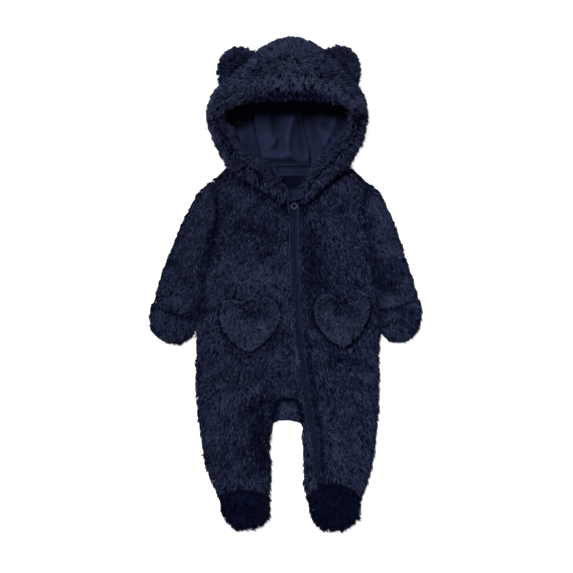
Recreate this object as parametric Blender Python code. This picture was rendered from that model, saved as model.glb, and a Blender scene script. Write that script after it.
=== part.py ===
"""Hooded fleece jumpsuit for a baby, zipped and laid on its back.

Z = 0 is the surface it lies on, +Y points to the hood and +Z is its front. The cloth pieces are thin walls:
the back lies on the surface, the fronts lie on the back, and the hood stands open above its own back.
Every table is in millimetres. Left and right are as seen from the front.
"""

import bmesh
import bpy
import numpy as np
from mathutils import Matrix, Vector

MM = 0.001

# Cloth
CLOTH = 4.0  # fleece: ground cloth with the pressed foot of its pile
CLOTH_RIM = 3.0  # the same cloth where an edge is drawn in by its seam
JERSEY = 1.4
SEAM = 0.4  # between two pieces that are sewn together
LAID = 0.35  # between two layers that lie on each other

# How the two layers of the body lie
RIM_RISE = 2.5  # the underside of a side seam above the surface
RIM_REACH = 12.0  # how far in from a side seam the cloth lies flat again
LOFT = 3.1  # how far the fronts stand off the back
LOFT_REACH = 45.0

# Zip
ZIP_TOP, ZIP_FOOT = 136.0, -288.8
ZIP_HALF = 5.0  # from its middle to the edge of each front
TAPE_DROP = 2.1  # the tape's top below the fronts' top
TAPE_THICK = 1.1
TAPE_SPLIT = 0.25
SLIDER_Y = 123.3
PULL_Y = 121.0
RING_RADIUS = 5.0
RING_HOLE = 2.7
RING_AHEAD = 7.75  # from the hinge to the ring's middle
PULL_THICK = 1.2

# Plan of the body below the arms, from the underarm to the ankles
BODY_COLUMNS = ("y", "side_left", "leg_left", "leg_right", "zip", "side_right", "crotch", "instep")
BODY_ROWS = (
    (50, -111.5, -40, -6, 12.6, 121.5, 0.00, 0.0),
    (20, -113.5, -38, -4, 14.2, 127.5, 0.00, 0.0),
    (-12, -117.5, -34, 1, 15.9, 131.5, 0.00, 0.0),
    (-45, -122.0, -31, 5, 17.4, 133.0, 0.00, 0.0),
    (-80, -124.0, -28, 10, 20.8, 131.5, 0.03, 0.0),
    (-110, -126.0, -25, 15, 25.0, 131.5, 0.10, 0.0),
    (-138, -126.0, -23, 19, 28.6, 131.5, 0.28, 0.0),
    (-166, -125.0, -21, 23, 32.0, 131.0, 0.58, 0.0),
    (-196, -121.5, -19, 27, 37.0, 129.5, 1.00, 0.0),
    (-218, -118.5, -26, 28, 41.0, 127.5, 0.00, 0.0),
    (-242, -115.0, -27, 29, 44.0, 124.5, 0.00, 0.1),
    (-264, -110.0, -26, 30, 45.7, 120.5, 0.00, 0.3),
    (-285, -103.0, -26, 31, 46.7, 115.0, 0.00, 0.6),
    (-304, -93.0, -27, 33, 47.5, 107.5, 0.00, 1.0),
)
CROTCH_RISE = 31.0  # of the gusset's upper seam over its corners
INSTEP_RISE = (9.0, 18.5)  # of the foot seam over its ends, left and right
CELLS_LEFT, CELLS_CROTCH, CELLS_STRIP, CELLS_RIGHT = 6, 4, 1, 6
YOKE_ROWS = 5

# Armholes from the shoulder to the underarm, and the seams at the top of the fronts and the back
ARMHOLE_LEFT = ((-106, 144), (-98, 123), (-96.5, 102), (-101, 75), (-111.5, 50))
ARMHOLE_RIGHT = ((119, 142), (114, 122), (113, 103), (116.5, 76), (121.5, 50))
SHOULDER_LEFT, SHOULDER_RIGHT = (-79, 168.5), (86, 168)
NECK_LEFT = ((-79, 168.5), (-58, 153), (-38, 139), (-18, 126), (-1, 116.5), (7.6, 114))
NECK_RIGHT = ((86, 168), (66, 154.5), (52, 141), (40, 126.5), (28, 118), (17.6, 114))
NECK_BACK_Y = 168.5
GUSSET_EDGE = ((-19, -196), (-9, -191.3), (5, -190.5), (16, -193), (27, -198.5))
GUSSET_EASE = 0.96  # the gusset's upper seam, beside the cut that it is sewn into
GUSSET_SPAN = (-0.85, -0.5, 0.0, 0.5, 0.85)  # its columns, in half widths from the middle
GUSSET_WALL = 3.4
GUSSET_FOLD = ((0, 1), (0.35, 1), (0.75, 0.97), (1, 0.5), (0.75, 0.03), (0.35, 0), (0, 0))  # down, up

# Sleeves: the two ends of each section, its bow towards the body, and its underside and top
SLEEVE_COLUMNS = ("outer_x", "outer_y", "inner_x", "inner_y", "bow", "low", "high")
SLEEVE_LEFT = (
    (-106.4, 144.4, -112.2, 50.4, 13.0, 0.0, 11.4),
    (-119.0, 133.0, -112.9, 45.0, 8.0, 0.0, 11.6),
    (-131.0, 114.0, -113.7, 38.0, 4.0, 0.0, 11.6),
    (-143.0, 90.0, -114.8, 27.0, 1.0, 0.0, 11.6),
    (-155.0, 62.0, -116.6, 13.0, 0.0, 0.0, 11.6),
    (-165.0, 37.0, -119.6, -4.0, 0.0, 0.0, 11.6),
    (-174.0, 14.0, -125.5, -23.0, 0.0, 0.0, 11.6),
    (-180.5, -7.0, -133.5, -38.0, 0.0, 1.0, 11.6),
    (-184.6, -25.5, -138.6, -44.5, -2.0, 4.1, 11.2),
    (-185.6, -38.0, -139.5, -54.0, -4.0, 4.1, 11.2),
)
SLEEVE_RIGHT = (
    (119.4, 142.4, 122.3, 50.4, 8.0, 0.0, 11.4),
    (131.0, 131.0, 123.8, 45.0, 5.0, 0.0, 11.6),
    (141.0, 113.0, 125.6, 38.0, 3.0, 0.0, 11.6),
    (150.0, 90.0, 127.9, 28.0, 1.0, 0.0, 11.6),
    (159.0, 65.0, 130.6, 15.0, 0.0, 0.0, 11.6),
    (167.5, 40.0, 133.3, 0.0, 0.0, 0.0, 11.6),
    (175.5, 15.0, 136.0, -17.0, 0.0, 0.0, 11.6),
    (181.5, -3.0, 138.5, -28.0, 0.0, 1.0, 11.6),
    (184.8, -19.5, 143.2, -33.5, -2.0, 4.1, 11.2),
    (186.4, -33.0, 143.8, -45.0, -4.0, 4.1, 11.2),
)
CUFF_LEFT = (
    (-189.0, -26.5, -134.2, -45.0, -3.0, 0.0, 15.4),
    (-191.0, -44.0, -134.0, -56.0, -4.0, 0.0, 15.4),
    (-190.5, -58.0, -136.5, -66.0, -5.0, 0.0, 15.0),
    (-185.0, -68.0, -142.5, -74.5, -4.0, 0.6, 14.0),
    (-175.0, -75.0, -152.0, -79.5, -2.0, 2.4, 11.5),
)
CUFF_RIGHT = (
    (189.5, -20.5, 138.4, -34.0, -3.0, 0.0, 15.4),
    (191.5, -37.0, 138.6, -48.0, -4.0, 0.0, 15.4),
    (190.5, -52.0, 141.0, -62.0, -5.0, 0.0, 15.0),
    (185.5, -65.5, 147.5, -72.5, -4.0, 0.6, 14.0),
    (176.0, -73.5, 157.0, -78.0, -2.0, 2.4, 11.5),
)
SLEEVE_AROUND = 16
SLEEVE_WALL = 4.0
SLEEVE_END_WALL = 3.2  # where the sleeve lies inside its cuff
CUFF_WALL = 3.6

# Feet, from the seam at the instep to the toe
FOOT_COLUMNS = ("y", "left", "right", "seam")
FOOT_LEFT = (
    (-304.6, -93.0, -27.0, 1.0),
    (-314.0, -91.0, -26.5, 0.6),
    (-325.0, -87.0, -27.0, 0.3),
    (-335.0, -82.0, -31.0, 0.05),
    (-343.0, -74.0, -39.5, -0.05),
    (-347.5, -66.0, -49.0, -0.1),
)
FOOT_RIGHT = (
    (-304.6, 33.0, 107.5, 1.0),
    (-315.0, 37.5, 105.5, 0.6),
    (-326.0, 40.5, 103.0, 0.3),
    (-336.0, 44.5, 98.5, 0.05),
    (-344.5, 51.0, 90.0, -0.05),
    (-349.5, 60.0, 79.0, -0.1),
)

# Hood: where each section meets the body or the surface, its fold at the mouth, and the facing's inner edge
HOOD_COLUMNS = (
    "base_x", "base_y", "base_z", "ridge_x", "ridge_y", "ridge_z", "in_x", "in_y", "in_z", "crest",
)  # fmt: skip
HOOD_LEFT = (
    (7.0, 114.8, 11.5, 7.0, 126, 14, 7.0, 137, 12.5, 1),
    (-9.5, 121.5, 11.5, -7.0, 134, 18, -3.0, 145, 14, 1),
    (-26.0, 132.0, 11.3, -20.0, 145, 22, -13.0, 157, 14, 2),
    (-43.0, 143.2, 11.0, -35.0, 156, 24, -25.0, 168, 14, 2),
    (-60.0, 155.2, 10.6, -50.0, 168, 26, -40.0, 179, 15, 3),
    (-76.5, 170.2, 9.0, -64.0, 180, 28, -53.0, 191, 16, 4),
    (-85.0, 184.0, 8.0, -75.5, 193, 31, -64.0, 204, 18, 5),
    (-97.0, 207.0, 8.5, -87.0, 211, 35, -76.0, 217, 21, 6),
    (-105.0, 229.0, 9.0, -94.5, 227, 39, -85.5, 228, 25, 8),
    (-107.5, 245.0, 9.0, -97.0, 240, 43, -90.0, 238, 30, 10),
    (-103.5, 262.0, 9.0, -90.5, 251, 48, -87.0, 251, 35, 14),
    (-91.0, 283.0, 9.0, -78.0, 258, 51, -77.5, 264, 39, 18),
    (-72.0, 301.0, 9.0, -63.5, 262, 53, -63.5, 272, 42, 22),
    (-51.5, 319.0, 9.0, -48.0, 265, 55, -49.0, 278, 44, 26),
    (-33.5, 335.0, 8.5, -33.4, 267, 56, -33.8, 281, 45, 28),
)
HOOD_RIGHT = (
    (18.4, 114.8, 11.5, 18.6, 126, 14, 18.6, 137, 12.5, 1),
    (33.0, 122.6, 11.5, 31.0, 134, 18, 28.0, 145, 14, 1),
    (45.5, 134.4, 11.3, 39.5, 145, 22, 34.0, 155, 14, 2),
    (58.5, 148.8, 11.0, 50.0, 159, 24, 42.0, 167, 14, 2),
    (71.0, 159.2, 10.6, 61.5, 169, 26, 51.0, 178, 15, 3),
    (84.5, 169.8, 9.0, 73.5, 180, 28, 61.5, 190, 16, 4),
    (91.0, 184.0, 8.0, 83.0, 193, 31, 73.0, 201, 18, 5),
    (104.0, 206.0, 8.5, 94.5, 209, 35, 84.0, 212, 21, 6),
    (110.5, 228.0, 9.0, 100.5, 226, 39, 91.5, 224, 25, 8),
    (112.0, 244.0, 9.0, 102.0, 239, 43, 95.5, 236, 30, 10),
    (109.5, 261.0, 9.0, 97.0, 250, 48, 94.0, 249, 35, 14),
    (101.0, 281.0, 9.0, 89.5, 257, 51, 89.0, 263, 39, 18),
    (86.5, 301.0, 9.0, 76.5, 262, 53, 76.5, 272, 42, 22),
    (69.0, 320.0, 9.0, 64.0, 265, 55, 64.5, 278, 44, 26),
    (53.5, 334.0, 8.5, 51.4, 267, 56, 51.6, 281, 45, 28),
)
HOOD_CENTRE_CREST = 30.0
BRIM, BRIM_FALL = (267.5, 56.5), (0.5, 0.5)  # y and z of the fold at the brim, and its fall at the seams
CROWN, CROWN_FALL = (351.0, 8.5), (16.5, 0.0)  # the same for the hood's outline at the crown
BRIM_FACING = (0, 14.0, -11.0)  # from the fold at the brim to the facing's inner edge
HOOD_FLOOR_ROW = 5  # from this section on, the hood has a back below it
CENTRE_X = (-33.0, 51.0)  # the centre panel's seams
CENTRE_COLUMNS = 6
FOLD_WALLS = (1.8, 2.1, 3.2)  # the cloth at the mouth, drawn in by the fold, and how it gets thicker
FACING_WALL = 1.8
HOOD_OUTSIDE_CELLS, HOOD_FLOOR_CELLS = 5, 2
TURN_IN = 8.0  # from the hood's outline to where its back lies flat

# Seams of the lining on the hood's back, from the neck up
LINING_COLUMNS = ("y", "left", "right")
LINING_SEAMS = (
    (170.4, -33.5, 36.0),
    (188.0, -36.0, 35.0),
    (204.0, -39.5, 32.5),
    (220.0, -43.0, 28.5),
    (236.0, -45.5, 25.5),
    (252.0, -46.5, 25.0),
    (268.0, -45.5, 28.0),
    (283.0, -42.0, 33.0),
    (296.0, -37.5, 41.0),
    (314.0, -33.0, 51.0),
)
LINING_FIRST_ROW = 5
LINING_Z = CLOTH + LAID + JERSEY
LINING_WALL_IN, LINING_FLOOR_IN = 13.0, 20.0  # from the hood's outline to the lining's side and its foot
LINING_SLACK = 2.0  # how far its upper part bulges

# Ears: how far each one's middle and rim lie from its foot line
EAR_COLUMNS = ("foot_x", "foot_y", "rim_x", "rim_y")
EAR_LEFT = (
    (-88.0, 288.0, -92.5, 295.5),
    (-79.5, 295.5, -92.5, 315.0),
    (-70.0, 304.0, -84.5, 331.0),
    (-61.0, 312.5, -70.5, 338.0),
    (-53.0, 320.0, -57.0, 335.0),
    (-46.5, 326.0, -47.5, 330.0),
)
EAR_RIGHT = (
    (97.2, 288.6, 101.5, 295.5),
    (91.3, 296.8, 102.0, 315.0),
    (84.3, 305.3, 94.5, 332.0),
    (76.3, 314.1, 81.0, 339.0),
    (68.8, 321.8, 68.0, 336.5),
    (61.6, 328.2, 59.5, 332.0),
)
EAR_AROUND = 9
EAR_FOOT_Z, EAR_TIP_Z = 20.0, 15.0
EAR_FOOT_AWAY = -1.0  # from the foot line to the edge that is sewn to the hood
EAR_HALF = 3.2  # half of the hollow inside the ear
EAR_WALL = 3.6

# Heart pockets, clockwise from the notch
HEART_LEFT = (
    (-64, -27), (-52, -21.5), (-38, -20), (-24, -22), (-13, -31), (-9.5, -44), (-13, -58), (-23, -72),
    (-36, -85), (-50, -94.5), (-63, -90), (-76, -80), (-86, -67), (-92, -53), (-92.5, -39), (-88, -27),
    (-81, -22.5), (-73, -24),
)  # fmt: skip
HEART_RIGHT = (
    (78, -24), (87, -17), (98, -11), (109, -11), (117, -19), (120, -33), (117.5, -48), (110, -63),
    (99, -77), (85, -88), (72, -83), (59.5, -73), (50, -60), (44.5, -46), (44, -32), (49, -20), (57.5, -15),
    (68, -18),
)  # fmt: skip
POCKET_THICK = 4.0
POCKET_RINGS = (1.0, 0.72, 0.4, 0.0)

COLOURS = {
    "fleece": (0.0125, 0.0155, 0.036, 1.0),
    "foot_fleece": (0.006, 0.007, 0.018, 1.0),
    "jersey": (0.011, 0.013, 0.033, 1.0),
    "zip_tape": (0.008, 0.009, 0.022, 1.0),
    "zip_metal": (0.02, 0.022, 0.035, 1.0),
}
ROUGHNESS = {"zip_metal": 0.35}
METALLIC = {"zip_metal": 0.8}


def table(columns, rows):
    """The rows as one array for each named column."""
    return dict(zip(columns, np.array(rows, float).T))


def ease(t):
    """A smooth step from 0 to 1."""
    t = np.clip(t, 0.0, 1.0)
    return t * t * (3.0 - 2.0 * t)


def along(points, count):
    """The points at equal steps along a polyline, corners rounded off only by the steps."""
    points = np.array(points, float)
    run = np.r_[0, np.cumsum(np.linalg.norm(np.diff(points, axis=0), axis=1))]
    at = np.linspace(0, run[-1], count)
    return np.stack([np.interp(at, run, c) for c in points.T], -1)


def smooth(rows, count):
    """The rows of a table at equal steps of smooth curves through them."""
    p = np.array(rows, float)
    slope = np.gradient(p, axis=0)
    at = np.linspace(0, len(p) - 1, count)
    i = np.minimum(at.astype(int), len(p) - 2)
    t = (at - i)[:, None]
    s = ease(t)
    return (1 - s) * p[i] + s * p[i + 1] + t * (1 - t) ** 2 * slope[i] - t * t * (1 - t) * slope[i + 1]


def material(kind):
    if kind in bpy.data.materials:
        return bpy.data.materials[kind]
    made = bpy.data.materials.new(kind)
    made.use_nodes = True
    shader = made.node_tree.nodes["Principled BSDF"]
    shader.inputs["Base Color"].default_value = COLOURS[kind]
    shader.inputs["Roughness"].default_value = ROUGHNESS.get(kind, 0.9)
    shader.inputs["Metallic"].default_value = METALLIC.get(kind, 0.0)
    return made


def add_mesh(name, vertices, faces, kind):
    """One object from vertices in millimetres, doubles merged and faces turned outwards."""
    mesh = bpy.data.meshes.new(name)
    mesh.from_pydata((np.asarray(vertices, float) * MM).tolist(), [], faces)
    work = bmesh.new()
    work.from_mesh(mesh)
    bmesh.ops.remove_doubles(work, verts=work.verts, dist=1e-7)
    bmesh.ops.recalc_face_normals(work, faces=work.faces)
    work.to_mesh(mesh)
    work.free()
    mesh.shade_smooth()
    mesh.materials.append(material(kind))
    made = bpy.data.objects.new(name, mesh)
    bpy.context.scene.collection.objects.link(made)
    return made


def shell(name, outer, inner, kind, keep=None, wrap=False, poles=()):
    """A wall between two grids of points, closed along every open edge.

    keep says which cells are there. wrap joins the last column to the first. A row in poles is one point.
    """
    rows, columns = outer.shape[:2]
    across = columns if wrap else columns - 1
    keep = np.ones((rows - 1, across), bool) if keep is None else keep
    index = np.arange(rows * columns).reshape(rows, columns)
    index = np.hstack([index, index[:, :1]]) if wrap else index
    second = rows * columns
    faces = []
    for i, j in np.argwhere(keep):
        a, b, c, d = index[i, j], index[i, j + 1], index[i + 1, j + 1], index[i + 1, j]
        faces.append((a, b, c, d))
        faces.append((a + second, d + second, c + second, b + second))
        for p, q, di, dj in ((a, b, -1, 0), (b, c, 0, 1), (c, d, 1, 0), (d, a, 0, -1)):
            ni, nj = i + di, (j + dj) % across if wrap else j + dj
            inside = 0 <= ni < rows - 1 and 0 <= nj < across
            at_pole = (i in poles and di == -1) or (i + 1 in poles and di == 1)
            if not at_pole and not (inside and keep[ni, nj]):
                faces.append((q, p, p + second, q + second))
    vertices = np.vstack([outer.reshape(-1, 3), inner.reshape(-1, 3)])
    return add_mesh(name, vertices, [tuple(int(v) for v in f) for f in faces], kind)


def stack(x, y, z):
    x, y, z = np.broadcast_arrays(x, y, z)
    return np.stack([x, y, z], -1).astype(float)


def unit(v):
    return v / np.maximum(np.linalg.norm(v, axis=-1, keepdims=True), 1e-9)


def normals(grid):
    """Unit normals of a grid of points, from its two directions."""
    return unit(np.cross(np.gradient(grid, axis=0), np.gradient(grid, axis=1)))


# --- body -----------------------------------------------------------------------------------------------


def body_table():
    return table(BODY_COLUMNS, BODY_ROWS)


def body_edges():
    """The polylines where the front and the back are folded or sewn together at the garment's outline."""
    b = body_table()
    feet = [table(FOOT_COLUMNS, rows) for rows in (FOOT_LEFT, FOOT_RIGHT)]
    below = np.flatnonzero(b["y"] < -200)

    def leg(outer, inner, foot, first, second):
        down = [(x, y) for x, y in zip(b[outer], b["y"])]
        toe = list(zip(foot[first], foot["y"])) + list(zip(foot[second][::-1], foot["y"][::-1]))
        up = [(x, y) for x, y in zip(b[inner][below][::-1], b["y"][below][::-1])]
        return down + toe + up

    left = leg("side_left", "leg_left", feet[0], "left", "right")
    right = leg("side_right", "leg_right", feet[1], "right", "left")
    outline = left + list(GUSSET_EDGE) + right[::-1]
    return [outline, [ARMHOLE_LEFT[0], SHOULDER_LEFT], [ARMHOLE_RIGHT[0], SHOULDER_RIGHT]]


def edge_distance(x, y):
    """The distance in plan from each point to the nearest edge of the body."""
    points = np.stack(np.broadcast_arrays(x, y), -1).astype(float)
    nearest = np.full(points.shape[:-1], np.inf)
    for line in body_edges():
        line = np.array(line, float)
        for a, b in zip(line[:-1], line[1:]):
            step = b - a
            t = np.clip(((points - a) @ step) / max(step @ step, 1e-9), 0, 1)
            nearest = np.minimum(nearest, np.linalg.norm(points - a - t[..., None] * step, axis=-1))
    return nearest


def wall_at(d):
    return CLOTH_RIM + (CLOTH - CLOTH_RIM) * ease(d / RIM_REACH)


def back_low(x, y):
    """The back's underside: flat on the surface, and a little off it at the side seams."""
    return RIM_RISE * (1 - ease(edge_distance(x, y) / RIM_REACH))


def back_high(x, y):
    return back_low(x, y) + wall_at(edge_distance(x, y))


def front_low(x, y):
    """The fronts' underside: on the back at the seams, and standing off it by the loft further in."""
    return back_high(x, y) + LAID + LOFT * ease(edge_distance(x, y) / LOFT_REACH)


def front_high(x, y):
    return front_low(x, y) + wall_at(edge_distance(x, y))


def crotch_bump(x, corners):
    """1 in the middle of the gusset and 0 at its corners and beyond."""
    low, high = corners
    t = np.clip((2 * x - low - high) / (high - low), -1, 1)
    return 1 - t**4


def instep_bump(x, left, right):
    """The rise of the foot seam over its ends on each leg."""
    rise = np.zeros_like(x)
    for (low, high), most in zip((left, right), INSTEP_RISE):
        t = np.clip((2 * x - low - high) / (high - low), -1, 1)
        rise = rise + most * (1 - t**2)
    return rise


def spans(bounds, cells):
    """Columns spaced evenly within each span between two boundary arrays."""
    parts = [
        low[:, None] + (high - low)[:, None] * np.linspace(0, 1, n + 1)[None, :]
        for (low, high), n in zip(bounds, cells)
    ]
    return np.hstack([parts[0]] + [p[:, 1:] for p in parts[1:]])


def lower_plan(bounds, cells):
    """Plan points of a panel below the arms, its rows lifted over the gusset and the insteps."""
    b = body_table()
    x = spans([(b[low] + dl, b[high] + dh) for low, dl, high, dh in bounds], cells)
    y = np.repeat(b["y"][:, None], x.shape[1], 1)
    for row in range(len(b["y"])):
        corners = b["leg_left"][row], b["leg_right"][row]
        left = b["side_left"][row], b["leg_left"][row]
        right = b["leg_right"][row], b["side_right"][row]
        y[row] += b["crotch"][row] * CROTCH_RISE * crotch_bump(x[row], corners)
        y[row] += b["instep"][row] * instep_bump(x[row], left, right)
    return x, y


def coons(top, bottom, left, right):
    """A patch between four curves: the two blends of opposite curves, less the blend of the corners."""
    u = np.linspace(0, 1, len(top))[None, :, None]
    v = np.linspace(0, 1, len(left))[:, None, None]
    rows = (1 - v) * top[None] + v * bottom[None]
    columns = (1 - u) * left[:, None] + u * right[:, None]
    corners = (1 - v) * ((1 - u) * top[0] + u * top[-1]) + v * ((1 - u) * bottom[0] + u * bottom[-1])
    return rows + columns - corners


def panel_plan(bounds, cells, top, left, right):
    """The whole plan of a panel: a yoke between the armhole, the neck and the underarm line, then the rest."""
    x, y = lower_plan(bounds, cells)
    bottom = np.stack([x[0], y[0]], -1)
    yoke = coons(top, bottom, along(left, YOKE_ROWS + 1), along(right, YOKE_ROWS + 1))
    return np.vstack([yoke[:-1, :, 0], x]), np.vstack([yoke[:-1, :, 1], y])


def legs_apart(shape, gap):
    """Which cells of a panel are there: all but those between the legs, below the gusset's seam."""
    keep = np.ones((shape[0] - 1, shape[1] - 1), bool)
    first = YOKE_ROWS + [row[6] for row in BODY_ROWS].index(1.0)
    keep[first:, gap] = False
    return keep


def body_panel(name, x, y, low, high, keep=None):
    return shell(name, stack(x, y, high(x, y)), stack(x, y, low(x, y)), "fleece", keep)


def split_top(shoulder_cells, neck_cells, armhole_top, neck):
    """The top edge of a front: the shoulder, then the neck down to the zip."""
    shoulder = along((armhole_top, neck[0]), shoulder_cells + 1)
    return np.vstack([shoulder[:-1], along(neck, neck_cells + 1)])


def make_body():
    zip_left, zip_right = ("zip", -ZIP_HALF), ("zip", ZIP_HALF)
    b = body_table()
    # left front, which also passes the crotch to the zip on the right leg
    cells = (CELLS_LEFT, CELLS_CROTCH, CELLS_STRIP)
    bounds = (
        ("side_left", 0, "leg_left", 0),
        ("leg_left", 0, "leg_right", 0),
        ("leg_right", 0, *zip_left),
    )
    top = split_top(3, sum(cells) - 3, ARMHOLE_LEFT[0], NECK_LEFT)
    edge = ((b["zip"][0] - ZIP_HALF, 114), (b["zip"][0] - ZIP_HALF, b["y"][0]))
    x, y = panel_plan(bounds, cells, top, ARMHOLE_LEFT, edge)
    gap = slice(CELLS_LEFT, CELLS_LEFT + CELLS_CROTCH)
    body_panel("front_left", x, y, front_low, front_high, legs_apart(x.shape, gap))
    # right front, from the zip to the side
    bounds = ((*zip_right, "side_right", 0),)
    top = split_top(2, CELLS_RIGHT - 2, ARMHOLE_RIGHT[0], NECK_RIGHT)[::-1]
    edge = ((b["zip"][0] + ZIP_HALF, 114), (b["zip"][0] + ZIP_HALF, b["y"][0]))
    x, y = panel_plan(bounds, (CELLS_RIGHT,), top, edge, ARMHOLE_RIGHT)
    body_panel("front_right", x, y, front_low, front_high)
    # back, in one piece with both legs
    cells = (CELLS_LEFT, CELLS_CROTCH, CELLS_STRIP + CELLS_RIGHT)
    bounds = (
        ("side_left", 0, "leg_left", 0),
        ("leg_left", 0, "leg_right", 0),
        ("leg_right", 0, "side_right", 0),
    )
    middle = sum(cells) - 6
    neck = along(((SHOULDER_LEFT[0], NECK_BACK_Y), (SHOULDER_RIGHT[0], NECK_BACK_Y)), middle + 1)
    shoulders = [along(p, 4) for p in ((ARMHOLE_LEFT[0], neck[0]), (neck[-1], ARMHOLE_RIGHT[0]))]
    top = np.vstack([shoulders[0][:-1], neck, shoulders[1][1:]])
    x, y = panel_plan(bounds, cells, top, ARMHOLE_LEFT, ARMHOLE_RIGHT)
    body_panel("back", x, y, back_low, back_high, legs_apart(x.shape, gap))


def make_gusset():
    """The crotch gusset: a half-moon folded round the crotch edge, its front and back halves level with the
    fronts and the back."""
    b = body_table()
    row = int(np.argmax(b["crotch"]))
    corners = b["leg_left"][row], b["leg_right"][row]
    middle = np.array([sum(corners) / 2, b["y"][row]])
    knots = np.linspace(*corners, CELLS_CROTCH + 1)
    x = middle[0] + (corners[1] - corners[0]) / 2 * np.array(GUSSET_SPAN)
    seam = np.interp(x, knots, b["y"][row] + CROTCH_RISE * crotch_bump(knots, corners))
    x, seam = (middle + (np.stack([x, seam], -1) - middle) * GUSSET_EASE).T
    edge = np.array(GUSSET_EDGE, float)
    edge_y = np.interp(x, edge[:, 0], edge[:, 1])
    height = front_high(middle[0], seam.max())
    down, up = np.array(GUSSET_FOLD).T[:, :, None]
    outer = stack(x[None], seam + (edge_y - seam) * down, height * up)
    inner_edge = np.maximum(edge_y + GUSSET_WALL, edge_y + (seam - edge_y) * 0.3)
    low, high = GUSSET_WALL, height - GUSSET_WALL
    inner = stack(x[None], seam + (inner_edge - seam) * down, low + (high - low) * up)
    shell("crotch_gusset", outer, inner, "fleece")


# --- sleeves, cuffs and feet ----------------------------------------------------------------------------


def tube_rings(rows, wall=0.0):
    """Rings of a flattened tube, one for each section, inset by a wall.

    A ring is a rounded oblong: its width runs between the section's two ends, bowed in plan, and its height
    from the section's underside to its top. The wall is taken off the height, and in plan square to the
    tube's two sides, in proportion to how near a point is to that side.
    """
    s = table(SLEEVE_COLUMNS, rows)
    ends = [np.stack([s[f"{e}_x"], s[f"{e}_y"]], -1) for e in ("outer", "inner")]
    middle, half = (ends[0] + ends[1]) / 2, (ends[1] - ends[0]) / 2
    side = unit(half)
    normal = np.stack([-side[:, 1], side[:, 0]], -1) * np.sign(middle[:1, :1] * -1)
    turn = 2 * np.pi * np.arange(SLEEVE_AROUND) / SLEEVE_AROUND
    across = np.sign(np.cos(turn)) * np.abs(np.cos(turn)) ** 0.75
    up = np.sign(np.sin(turn)) * np.abs(np.sin(turn)) ** 0.6
    bow = s["bow"][:, None] * (1 - across**2)
    plan = middle[:, None] + across[:, None] * half[:, None] + bow[..., None] * normal[:, None]
    for end, way in zip(ends, (-1, 1)):
        run = unit(np.gradient(end, axis=0))
        out = np.stack([-run[:, 1], run[:, 0]], -1)
        out *= np.sign((out * side).sum(-1, keepdims=True)) * way
        near = np.broadcast_to(wall, len(rows))[:, None] * np.maximum(across * way, 0)
        plan = plan - near[..., None] * out[:, None]
    centre, tall = (s["low"] + s["high"]) / 2, (s["high"] - s["low"]) / 2 - wall
    return np.dstack([plan, centre[:, None] + tall[:, None] * up])


def on_armhole(ring, armhole):
    """The ring's points moved across to the sleeve's side of the armhole."""
    cut = along(armhole, YOKE_ROWS + 1)[::-1]
    ring[:, 0] = np.interp(ring[:, 1], cut[:, 1], cut[:, 0]) + np.sign(cut[0, 0]) * 2 * SEAM


def make_sleeve(name, rows, armhole):
    """A flat tube from the armhole to the wrist, its end inside the mitten flap."""
    walls = np.full(len(rows), SLEEVE_WALL)
    walls[-3:] = (SLEEVE_WALL + SLEEVE_END_WALL) / 2, SLEEVE_END_WALL, SLEEVE_END_WALL
    outer, inner = tube_rings(rows), tube_rings(rows, walls)
    on_armhole(outer[0], armhole)
    on_armhole(inner[0], armhole)
    shell(name, outer, inner, "fleece", wrap=True)


def make_cuff(name, rows):
    """The mitten flap that folds over the end of the sleeve: a flat pouch, shut at its tip."""
    outer = tube_rings(rows)
    tip = outer[-1].mean(0) + (outer[-1].mean(0) - outer[-2].mean(0)) * 0.25
    outer = np.vstack([outer, np.broadcast_to(tip, outer[:1].shape)])
    inner = tube_rings(rows[:-1], CUFF_WALL)
    shut = inner[-1].mean(0) + (inner[-1].mean(0) - inner[-2].mean(0)) * 0.1
    inner = np.vstack([inner, np.broadcast_to(shut, inner[:2].shape)])
    shell(name, outer, inner, "fleece", wrap=True, poles=(len(rows),))


def foot_plan(rows, legs_rise, cells=7):
    f = table(FOOT_COLUMNS, rows)
    x = spans([(f["left"], f["right"])], (cells,))
    t = (2 * x - f["left"][:, None] - f["right"][:, None]) / (f["right"] - f["left"])[:, None]
    return x, f["y"][:, None] + f["seam"][:, None] * legs_rise * (1 - t**2)


def make_foot(side, rows, rise):
    """The sole lies on the surface and the upper lies on it, both cut to a round toe."""
    x, y = foot_plan(rows, rise)
    d = edge_distance(x, y)
    body_panel(f"foot_{side}_sole", x, y, back_low, back_high).data.materials[0] = material("foot_fleece")
    puff = 1.6 * ease(d / 20.0)
    top, low = front_high(x, y) + puff, front_low(x, y)
    shell(f"foot_{side}_upper", stack(x, y, top), stack(x, y, low), "foot_fleece")


# --- hood -----------------------------------------------------------------------------------------------


def hood_points(rows, which):
    h = table(HOOD_COLUMNS, rows)
    return np.stack([h[f"{which}_{axis}"] for axis in "xyz"], -1)


def bezier(p0, p1, p2, p3, t):
    t = t[None, :, None]
    p0, p1, p2, p3 = (p[:, None] for p in (p0, p1, p2, p3))
    return (1 - t) ** 3 * p0 + 3 * (1 - t) ** 2 * t * p1 + 3 * (1 - t) * t**2 * p2 + t**3 * p3


def outside(ridge, base, crest, t):
    """The hood from the fold at its mouth over its crest and down to its outline, one row a section."""
    over = ridge + 0.42 * (base - ridge)
    over[:, 2] = ridge[:, 2] + crest
    shoulder = base.copy()
    shoulder[:, 2] = base[:, 2] + 0.72 * (ridge[:, 2] - base[:, 2])
    return bezier(ridge, over, shoulder, base, t)


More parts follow.
